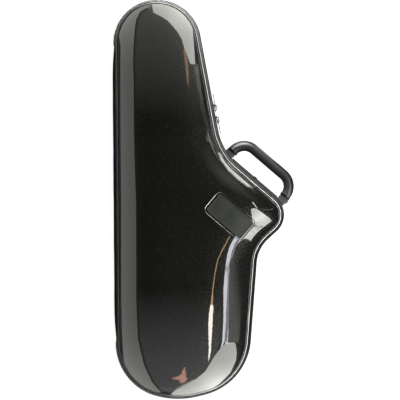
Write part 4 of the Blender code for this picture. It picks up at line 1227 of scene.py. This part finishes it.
def build_loops():
    """Webbing folded round each pin and drawn into the grip's end."""
    case = settings()
    rim, sizes = Rim(case.shell), case.handle
    matrix = handle_matrix(rim)
    webbing = finish("ribbed webbing")
    reach = sizes.reach - sizes.corner - BEND_SETBACK - MOUTH_STRAIGHT - MOUTH_GAP
    inner, outer = sizes.loop_width / 2 - 0.0016, sizes.loop_width / 2 + 0.0016
    side_line = [(y, -LOOP_HALF_THICK) for y in np.linspace(reach, FOLD_RADIUS, 7)]
    side_line += [
        (FOLD_RADIUS * math.cos(a) * 0.98, FOLD_RADIUS * math.sin(a))
        for a in np.linspace(-math.pi / 2 - 0.25, -3 * math.pi / 2 + 0.25, 15)
    ]
    side_line += [(y, LOOP_HALF_THICK) for y in np.linspace(FOLD_RADIUS, reach, 7)]
    outline = thickened(side_line, WEBBING_THICKNESS)
    section = rounded_rectangle(inner - 0.0006, 0.0031, 0.001, 3, 3)
    for name, way in (("upper", -1), ("lower", 1)):
        rows = []
        for share in np.linspace(-1, 1, 13):
            across = []
            for y, z in outline:
                widen = np.clip((y + 0.001) / 0.006, 0, 1)
                full = inner if share < 0 else outer - 0.0018 * (max(y, 0) / reach) ** 2
                half = PIN_HALF_WIDTH + (full - PIN_HALF_WIDTH) * widen
                edge = 1 - 0.10 * abs(share) ** 8
                across.append((way * (sizes.half_span + share * half), y, z * edge))
            rows.append(across)
        loop = lofted(f"loop_webbing_{name}", placed_rows(matrix, rows), webbing, sharp=45)
        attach(loop, "handle")
        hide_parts(f"handle_loop_{name}")
        rows = [
            [(way * sizes.half_span + x, y, z) for x, z in section] for y in np.linspace(0.0046, reach, 5)
        ]
        core = lofted(f"loop_core_{name}", placed_rows(matrix, rows), webbing, sharp=45)
        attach(core, "handle")


def build_strip():
    """The webbing-covered bar beside the wall, with a bound edge along its top and its foot."""
    case = settings()
    rim, sizes = Rim(case.shell), case.handle
    matrix = handle_matrix(rim)
    wall = rim.points - rim.normals * (case.shell.foot_offset - 0.0007)
    local = [matrix.inverted() @ Vector((x, y, 0)) for x, y in wall]
    near = sorted((place.x, place.y) for place in local if abs(place.y) < sizes.reach)
    inner_x, inner_y = zip(*near)
    half = sizes.strip_half
    face = sizes.strip_face - 0.0004
    rows = []
    for x in np.linspace(-half, half, 60):
        back = float(np.interp(x, inner_x, inner_y))
        end = 1 - 0.06 * (abs(x) / half) ** 24
        ring = [
            ((back + face) / 2 + y, z)
            for y, z in rounded_rectangle((face - back) / 2, sizes.strip_height / 2, 0.0011, 4, 7)
        ]
        rows.append([(x, y * end if y > 0 else y, z * end) for y, z in ring])
    strip = lofted("strip_webbing", placed_rows(matrix, rows), finish("ribbed webbing"), sharp=45)
    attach(strip, "base")
    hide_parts("handle_base_strip")
    for name, z in (("strip_binding_top", 1), ("strip_binding_foot", -1)):
        height = z * (sizes.strip_height / 2 - 0.0009)
        line = [(x, face - 0.0004, height) for x in np.linspace(-half + 0.0005, half - 0.0005, 30)]
        rows = tube_rows(matrix, line, np.full(30, 0.0010), 10)
        binding = lofted(name, rows, finish("hinge weave"))
        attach(binding, "base")


def build_fittings():
    """The metal pieces keep their own solids and take the black nickel finish."""
    for node in METAL_NODES:
        target = frame["nodes"][node]
        if not target.material_slots:
            raise RuntimeError(f"{node} has no material slot")
        for holder in target.material_slots:
            holder.material = finish("black nickel fittings")


# Stage

# Each card's outline in tenths of a millimetre: where its reflection falls on the lid, seen from above
CARD_OUTLINES = {
    "window_over_neck": (
        (-717, 2989), (-614, 2934), (-509, 2874), (-422, 2784), (-338, 2682), (-264, 2562), (-228, 2427),
        (-183, 2306), (-130, 2165), (-51, 2165), (-69, 2416), (-90, 2717), (-110, 2900), (-160, 3030),
        (-340, 3180), (-503, 3250), (-663, 3270), (-775, 3250), (-745, 3120), (-732, 3049),
    ),
    "card_beside_handle": (
        (296, 772), (345, 625), (467, 451), (611, 317), (786, 190), (940, 160), (728, 343), (593, 469),
        (459, 619), (358, 752),
    ),
    "window_by_bell_high": (
        (830, -153), (870, -136), (926, -147), (1006, -206), (1092, -266), (1146, -313), (1050, -325),
        (950, -345), (870, -375), (845, -365), (850, -308), (844, -244),
    ),
    "window_by_bell_low": (
        (1153, -324), (1163, -345), (1103, -388), (1031, -437), (958, -487), (888, -545), (822, -578),
        (796, -525), (802, -477), (837, -428), (853, -371), (860, -290), (950, -275), (1050, -270),
        (1120, -295),
    ),
    "flag_by_bell_0": (
        (759, -612), (850, -667), (796, -835), (723, -1023), (707, -1250), (481, -1250), (490, -1009),
        (590, -744), (671, -642),
    ),
    "flag_by_bell_1": (
        (707, -1248), (690, -1500), (675, -1770), (476, -1770), (476, -1408), (481, -1248),
    ),
    "flag_by_bell_2": (
        (675, -1768), (665, -2000), (640, -2268), (462, -2262), (476, -2007), (476, -1768),
    ),
    "glint_by_bell": (
        (866, -36), (851, -55), (887, -96), (918, -141), (931, -131), (903, -81),
    ),
    "cream_slit": (
        (186, -1656), (168, -1800), (158, -1986), (160, -2200), (161, -2557), (194, -2397), (206, -2250),
        (216, -2050), (228, -1800), (236, -1656),
    ),
    "amber_slit": (
        (502, -556), (466, -611), (367, -799), (302, -934), (249, -1170), (213, -1476), (190, -1656),
        (230, -1656), (231, -1476), (264, -1170), (315, -934), (376, -809), (482, -614),
    ),
    "pale_slit": (
        (547, -648), (484, -827), (421, -1080), (394, -1406), (394, -1875), (376, -2238), (331, -2401),
        (410, -2240), (434, -1875), (434, -1406), (461, -1080), (524, -827), (590, -648),
    ),
    "violet_slit": (
        (590, -648), (524, -827), (461, -1080), (434, -1406), (434, -1875), (405, -2242), (449, -2242),
        (475, -2007), (475, -1806), (475, -1408), (484, -1009), (583, -739), (639, -649),
    ),
    "window_by_bow": (
        (422, -2277), (498, -2275), (587, -2279), (607, -2421), (599, -2554), (510, -2764), (327, -2956),
        (107, -3120), (-133, -3200), (-296, -3200), (-442, -3120), (-312, -2938), (-40, -2832),
        (105, -2712), (250, -2472), (358, -2328),
    ),
    "rose_glint": (
        (-234, -2630), (-206, -2634), (-184, -2740), (-172, -2850), (-210, -2895), (-276, -2918),
        (-332, -2852), (-445, -2832), (-455, -2803), (-330, -2786), (-278, -2735), (-252, -2680),
    ),
    "amber_glint": (
        (-250, 2400), (-222, 2223), (-203, 2029), (-173, 1785), (-155, 1789), (-150, 2031), (-168, 2225),
        (-208, 2402),
    ),
    "long_wall": (
        (-775, 3120), (-790, 3053), (-819, 3085), (-928, 3015), (-993, 2886), (-1011, 2784), (-1036, 2463),
        (-1043, 2206), (-1030, 1837), (-1027, 1277), (-1011, 624), (-985, -8), (-982, -796), (-982, -1585),
        (-953, -2215), (-859, -2610), (-736, -2890), (-598, -3072), (-750, -3200), (-1200, -2800),
        (-1202, -2486), (-1227, -2088), (-1238, -1610), (-1240, -809), (-1239, -8), (-1253, 1275),
        (-1256, 1918), (-1255, 2239), (-1252, 2477), (-1300, 2700), (-1250, 3050), (-900, 3260),
        (-740, 3260), (-738, 3150),
    ),
    "neck_ceiling": (
        (-780, 3130), (-822, 3078), (-920, 3008), (-985, 2884), (-1003, 2783), (-1028, 2463), (-1035, 2206),
        (-1022, 1837), (-1019, 1000), (150, 1000), (60, 1500), (-50, 2165), (-120, 2900), (-600, 3200),
        (-770, 3200),
    ),
    "bow_ceiling": (
        (-974, -1250), (370, -1250), (380, -1875), (360, -2238), (315, -2400), (100, -2720), (-50, -2850),
        (-420, -3080), (-590, -3066), (-729, -2884), (-851, -2606), (-945, -2213), (-974, -1585),
    ),
    "neck_glow": (
        (-159, 2161), (-40, 2172), (28, 2152), (41, 1919), (82, 1627), (162, 1209), (256, 855), (305, 776),
        (183, 786), (72, 1024), (-23, 1294), (-103, 1613), (-151, 1902),
    ),
}


def stage_lamp(name, centre, facing, width, height, radiance, only=()):
    """A soft box that leaves no reflection, or one that lights only the pieces named."""
    data = bpy.data.lights.new(name, "AREA")
    data.shape = "RECTANGLE"
    data.size = width
    data.size_y = height
    data.energy = radiance * math.pi * width * height
    lamp = bpy.data.objects.new(name, data)
    bpy.context.scene.collection.objects.link(lamp)
    direction = Vector(facing) - Vector(centre)
    turn = direction.to_track_quat("-Z", "Y").to_matrix().to_4x4()
    lamp.matrix_world = Matrix.Translation(centre) @ turn
    lamp.visible_camera = False
    lamp.visible_glossy = bool(only)
    if only:
        lit = bpy.data.collections.new(f"lit by {name}")
        for piece in only:
            lit.objects.link(bpy.data.objects[piece])
        lamp.light_linking.receiver_collection = lit


def glow_finish(name, radiance, tint):
    """Light toward the lid alone: a grid dims it at a slant, and a soft edge is clear."""
    material = bpy.data.materials.new(name)
    material.use_nodes = True
    nodes = Nodes(material.node_tree)
    material.node_tree.nodes.remove(material.node_tree.nodes["Principled BSDF"])
    glow = nodes.add("ShaderNodeAttribute", attribute_name="glow").outputs["Fac"]
    facing = nodes.add("ShaderNodeLayerWeight", {"Blend": 0.5}).outputs["Facing"]
    grid = nodes.ramp(facing, 0.14, 0.40, 1.0, 0.0)
    strength = nodes.math("MULTIPLY", nodes.math("MULTIPLY", glow, grid), radiance)
    light = nodes.add("ShaderNodeEmission", {"Color": rgba(tint), "Strength": strength})
    cover = nodes.add("ShaderNodeAttribute", attribute_name="cover").outputs["Fac"]
    clear = nodes.add("ShaderNodeBsdfTransparent")
    shown = nodes.add("ShaderNodeMixShader", {0: cover, 1: clear.outputs[0], 2: light.outputs[0]})
    nodes.give(material.node_tree.nodes["Material Output"].inputs["Surface"], shown.outputs[0])
    return material


def ragged_ring(outline, ragged):
    """The outline at close spacing, with its edge broken up by a fixed noise."""
    ring = []
    for start, end in zip(outline, outline[1:] + outline[:1]):
        pieces = max(1, int(math.dist(start, end) / EDGE_STEP))
        for piece in range(pieces):
            x, y = (a + (b - a) * piece / pieces for a, b in zip(start, end))
            shift = noise.noise_vector(Vector((x * EDGE_UNEVENNESS, y * EDGE_UNEVENNESS, 3.0)))
            ring.append((x + shift.x * ragged, y + shift.y * ragged))
    return np.array(ring)


def card(name, rim, reach, radiance, tint, ragged=0.0, soft=0.0, hot=(), fade=None, even=0.8):
    """A glowing card placed so that the camera sees it in the lid, inside its outline.

    The card is dimmer where the lid is seen at a shallow angle and reflects more. A hot spot is
    (x, y, spread, gain), a soft edge lets what lies behind show, and a fade runs from full glow
    at its first place to none at its second.
    """
    stage = settings().stage
    ring = ragged_ring([(x / 10000, y / 10000) for x, y in CARD_OUTLINES[name]], ragged)
    low, high = ring.min(axis=0), ring.max(axis=0)
    step = max(CARD_STEPS[0], min(CARD_STEPS[1], min(high - low) / 8))
    columns, lines = np.arange(low[0], high[0], step), np.arange(low[1], high[1], step)
    grid = np.stack(np.meshgrid(columns, lines), axis=-1).reshape(-1, 2)
    within, nearest = rim.inside(grid, ring)
    places = [Vector(place) for place in np.vstack((ring, grid[within & (nearest > step * 0.4)]))]
    found, _, faces = delaunay_2d_cdt(places, [], [list(range(len(ring)))], 1, 1e-6)[:3]
    flat = np.array([tuple(place) for place in found])
    glow, cover = np.ones(len(flat)), np.ones(len(flat))
    if soft:
        cover = eased(np.clip(rim.inside(flat, ring)[1] / soft, 0, 1))
    for x, y, spread, gain in hot:
        glow *= 1 + gain * np.exp(-((flat[:, 0] - x) ** 2 + (flat[:, 1] - y) ** 2) / spread**2)
    if fade:
        full, none = np.array(fade)
        glow *= np.clip((none - flat) @ (none - full) / ((none - full) @ (none - full)), 0, 1)
    flat = rim.kept_on_wall(flat)
    origin = np.column_stack((flat, rim.shell.mid_height + rim.height(flat, True)))
    facing = rim.slope_normals(flat, True)
    sight = unit(
        origin - np.array((stage.view_x, stage.view_y, rim.shell.mid_height + stage.camera_height))
    )
    slant = (sight * facing).sum(axis=1)
    away = sight - 2 * slant[:, None] * facing
    head_on = ((stage.coat_ior - 1) / (stage.coat_ior + 1)) ** 2
    graze = head_on + (1 - head_on) * (1 + slant) ** 5
    glow *= (head_on / graze) ** even
    shift = origin - origin.mean(axis=0)
    beside = (shift * away).sum(axis=1)
    far = -beside + np.sqrt(beside**2 - (shift**2).sum(axis=1) + reach**2)
    sheet = object_from(name, origin + away * far[:, None], faces, glow_finish(name, radiance, tint))
    for layer, values in (("glow", glow), ("cover", cover)):
        made = sheet.data.attributes.new(layer, "FLOAT", "POINT")
        made.data.foreach_set("value", values.astype(np.float32))
    for way in ("visible_camera", "visible_diffuse", "visible_shadow", "visible_transmission"):
        setattr(sheet, way, False)


def build_cards():
    """The windows, walls and slits that the lid reflects, and the dark flags beside its right wall."""
    rim = Rim(settings().shell)
    white, cream, amber = (1.0, 1.0, 0.94), (1.0, 0.95, 0.84), (1.0, 0.66, 0.34)
    neck_spots = ((-0.030, 0.290, 0.025, 0.35),)
    high_spots = ((0.101, -0.026, 0.008, 0.5), (0.089, -0.034, 0.008, 0.45))
    low_spots = ((0.101, -0.035, 0.010, 0.5),)
    bow_spots = ((0.030, -0.297, 0.028, 0.75),)
    wall_spots = ((-0.09, 0.30, 0.06, 1.3), (-0.09, -0.29, 0.07, 0.9))
    card("window_over_neck", rim, 0.24, 3.10, white, hot=neck_spots)
    card("card_beside_handle", rim, 0.15, 4.20, white, soft=0.0008)
    card("window_by_bell_high", rim, 0.30, 4.40, white, hot=high_spots)
    card("window_by_bell_low", rim, 1.60, 3.70, white, hot=low_spots)
    for count in range(3):
        fade = ((0.047, -0.10), (0.063, -0.098))
        card(f"flag_by_bell_{count}", rim, 0.088, 0.45, white, fade=fade)
    card("glint_by_bell", rim, 0.35, 3.60, white)
    card("cream_slit", rim, 0.40, 8.50, cream, ragged=0.0009)
    card("amber_slit", rim, 0.40, 3.33, amber, ragged=0.0008)
    card("pale_slit", rim, 0.80, 5.18, (0.95, 0.94, 1.0), ragged=0.0004)
    card("violet_slit", rim, 0.80, 1.60, (0.86, 0.84, 1.0), ragged=0.0004)
    card("window_by_bow", rim, 0.40, 3.00, white, hot=bow_spots)
    card("rose_glint", rim, 0.25, 3.33, (1.0, 0.52, 0.40), ragged=0.0008, soft=0.0008)
    card("amber_glint", rim, 0.28, 1.60, (1.0, 0.62, 0.36), ragged=0.0006, soft=0.0012)
    card("long_wall", rim, 0.80, 0.58, white, hot=wall_spots)
    card("neck_glow", rim, 1.20, 0.85, white, soft=0.004, fade=((0.0, 0.19), (0.0, 0.105)))
    fade = ((0.0, 0.29), (0.0, 0.13))
    card("neck_ceiling", rim, 0.45, 0.34, white, soft=0.004, fade=fade, even=0)
    fade = ((0.0, -0.26), (0.0, -0.14))
    card("bow_ceiling", rim, 0.45, 0.34, (0.94, 0.97, 1.0), soft=0.004, fade=fade, even=0)


def build_stage():
    """The pale floor, the studio's soft light, the cards in the gloss and the camera."""
    case = settings()
    stage, mid = case.stage, case.shell.mid_height
    scene = bpy.context.scene
    scene.view_settings.view_transform = "Standard"
    scene.view_settings.look = "None"
    half = stage.floor_size / 2
    verts = [(-half, -half, 0), (half, -half, 0), (half, half, 0), (-half, half, 0)]
    floor = object_from("pale_floor", verts, [[0, 1, 2, 3]], floor_finish(stage))
    floor.visible_glossy = False
    world = bpy.data.worlds.new("studio")
    world.use_nodes = True
    scene.world = world
    nodes = Nodes(world.node_tree)
    background = world.node_tree.nodes["Background"]
    path = nodes.add("ShaderNodeLightPath").outputs
    dim = nodes.mix(path["Is Glossy Ray"], SOFT_GREY, GLOSS_GREY)
    nodes.give(background.inputs["Color"], nodes.mix(path["Is Camera Ray"], dim, CAMERA_GREY))
    light = stage.floor_light
    stage_lamp("overhead_softbox", (0.3, 0.2, 2.6), (0, 0, 0), 2.4, 2.4, 0.8 * light)
    stage_lamp("key_softbox", (1.6, 0.7, 0.75), (0.0, 0.0, 0.1), 1.2, 0.8, 5.0 * light)
    plate = (0.06, -0.03, 0.16)
    stage_lamp("badge_end_light", (-0.32, 0.29, 0.46), plate, 0.5, 0.5, 24.0, only=("badge_ridge",))
    stage_lamp("badge_side_light", (-0.27, -0.41, 0.46), plate, 0.5, 0.4, 14.0, only=("badge_ridge",))
    grip_end = (0.14, 0.00, 0.09)
    stage_lamp("grip_end_light", (0.50, -0.13, 0.55), grip_end, 0.1, 0.1, 60.0, only=("grip_rubber",))
    grip_bend = (0.065, 0.095, 0.09)
    stage_lamp("grip_bend_light", (0.00, 0.81, 0.66), grip_bend, 0.4, 0.3, 150.0, only=("grip_rubber",))
    stage_lamp("lip_light", (1.0, 0.1, 0.8), (0.0, 0.0, 0.1), 0.8, 0.6, 78.0, only=("lid_lip",))
    band = ("lid_zip_tape", "lid_tape_stitches", "lid_piping", "back_zip_tape")
    stage_lamp("neck_band_light", (-0.10, 0.90, 0.40), (-0.05, 0.32, 0.09), 0.3, 0.3, 260.0, only=band)
    stage_lamp("neck_corner_light", (0.03, 0.50, 0.25), (-0.01, 0.31, 0.09), 0.12, 0.12, 340.0, only=band)
    stage_lamp("bow_band_light", (-0.20, -0.88, 0.40), (-0.04, -0.32, 0.09), 0.3, 0.3, 90.0, only=band)
    build_cards()
    camera_data = bpy.data.cameras.new("catalogue_camera")
    camera_data.sensor_width = SENSOR_WIDTH
    camera_data.lens = SENSOR_WIDTH * stage.camera_height / stage.view_width
    camera_data.clip_start = 0.05
    camera_data.clip_end = 50.0
    camera = bpy.data.objects.new("catalogue_camera", camera_data)
    scene.collection.objects.link(camera)
    camera.location = (stage.view_x, stage.view_y, mid + stage.camera_height)
    scene.camera = camera


def floor_finish(stage):
    made = Finish("pale floor", 0.7)
    nodes = made.nodes
    mottle = nodes.noise(made.places["Object"], 3.0, 3.0)
    away = nodes.add("ShaderNodeVectorMath", {0: made.places["Object"]}, operation="LENGTH")
    # Painted pool of light: near the case the floor is paler and glows white; further off its colour
    # darkens and its glow fades to grey.
    painted_light_pool = nodes.ramp(away.outputs["Value"], 0.42, 1.3)
    near = nodes.mix(mottle, rgba(stage.floor_colour, 0.985), rgba(stage.floor_colour))
    made.set(Base_Color=nodes.mix(painted_light_pool, near, rgba(stage.floor_colour, 0.62)))
    # The floor's glow is painted light, white near the case and grey far off, which also fills in its
    # shadows.
    made.set(Specular_IOR_Level=0.0, Emission_Strength=0.75)
    made.set(Emission_Color=nodes.mix(painted_light_pool, (1.0, 1.0, 1.0, 1.0), (0.22, 0.22, 0.225, 1.0)))
    return made.material


# Operators, panel and registration

class StudioStep:
    bl_options = {"REGISTER", "UNDO"}

    def execute(self, context):
        type(self).work()
        return {"FINISHED"}


class SAXCASE_OT_shells(StudioStep, bpy.types.Operator):
    """Mould the lid and the back with their lips, painted light grey as a highlight"""

    bl_idname = "sax_case.shells"
    bl_label = "Shells"
    work = staticmethod(build_shells)


class SAXCASE_OT_zip(StudioStep, bpy.types.Operator):
    """Lay the piping, the woven tapes and the interlocked teeth round the rim"""

    bl_idname = "sax_case.zip"
    bl_label = "Piping and Zip"
    work = staticmethod(build_zip)


class SAXCASE_OT_hinge(StudioStep, bpy.types.Operator):
    """Sew the fabric hinge along the straight side"""

    bl_idname = "sax_case.hinge"
    bl_label = "Fabric Hinge"
    work = staticmethod(build_hinge)


class SAXCASE_OT_lining(StudioStep, bpy.types.Operator):
    """Fit the plush-covered foam into both shells"""

    bl_idname = "sax_case.lining"
    bl_label = "Plush Lining"
    work = staticmethod(build_lining)


class SAXCASE_OT_badge(StudioStep, bpy.types.Operator):
    """Lay the bare badge plate and its ridge on the lid"""

    bl_idname = "sax_case.badge"
    bl_label = "Badge Plate"
    work = staticmethod(build_badge)


class SAXCASE_OT_grip(StudioStep, bpy.types.Operator):
    """Form the rubber grip"""

    bl_idname = "sax_case.grip"
    bl_label = "Grip"
    work = staticmethod(build_grip)


class SAXCASE_OT_loops(StudioStep, bpy.types.Operator):
    """Fold the webbing loops round the pins"""

    bl_idname = "sax_case.loops"
    bl_label = "Webbing Loops"
    work = staticmethod(build_loops)


class SAXCASE_OT_strip(StudioStep, bpy.types.Operator):
    """Cover the handle's base strip with webbing"""

    bl_idname = "sax_case.strip"
    bl_label = "Base Strip"
    work = staticmethod(build_strip)


class SAXCASE_OT_fittings(StudioStep, bpy.types.Operator):
    """Plate the sliders, pins, rivets and strap rings"""

    bl_idname = "sax_case.fittings"
    bl_label = "Metal Fittings"
    work = staticmethod(build_fittings)


class SAXCASE_OT_stage(StudioStep, bpy.types.Operator):
    """Set the floor, the soft boxes and the camera"""

    bl_idname = "sax_case.stage"
    bl_label = "Stage"
    work = staticmethod(build_stage)


STEPS = (
    SAXCASE_OT_shells,
    SAXCASE_OT_zip,
    SAXCASE_OT_hinge,
    SAXCASE_OT_lining,
    SAXCASE_OT_badge,
    SAXCASE_OT_grip,
    SAXCASE_OT_loops,
    SAXCASE_OT_strip,
    SAXCASE_OT_fittings,
    SAXCASE_OT_stage,
)


class SAXCASE_PT_case(bpy.types.Panel):
    """Lists the case's sizes, colours and building steps"""

    bl_idname = "SAXCASE_PT_case"
    bl_label = "Alto Saxophone Case"
    bl_space_type = "VIEW_3D"
    bl_region_type = "UI"
    bl_category = "Sax Case"

    def draw(self, context):
        case = context.scene.sax_case
        for step in STEPS:
            self.layout.operator(step.bl_idname)
        for title, group in (
            ("Shell", case.shell),
            ("Zip", case.zip),
            ("Handle and Badge", case.handle),
            ("Colours", case.colours),
            ("Stage", case.stage),
        ):
            box = self.layout.box()
            box.label(text=title)
            for name in group.bl_rna.properties.keys():
                if name not in {"rna_type", "name"}:
                    box.prop(group, name)


CLASSES = (
    SAXCASE_PG_shell,
    SAXCASE_PG_zip,
    SAXCASE_PG_handle,
    SAXCASE_PG_colours,
    SAXCASE_PG_stage,
    SAXCASE_PG_case,
    *STEPS,
    SAXCASE_PT_case,
)


def register():
    for kind in CLASSES:
        bpy.utils.register_class(kind)
    bpy.types.Scene.sax_case = PointerProperty(type=SAXCASE_PG_case)


def unregister():
    del bpy.types.Scene.sax_case
    for kind in reversed(CLASSES):
        bpy.utils.unregister_class(kind)


def main():
    register()
    for step in STEPS:
        family, name = step.bl_idname.split(".")
        getattr(getattr(bpy.ops, family), name)()


if __name__ == "__main__":
    main()
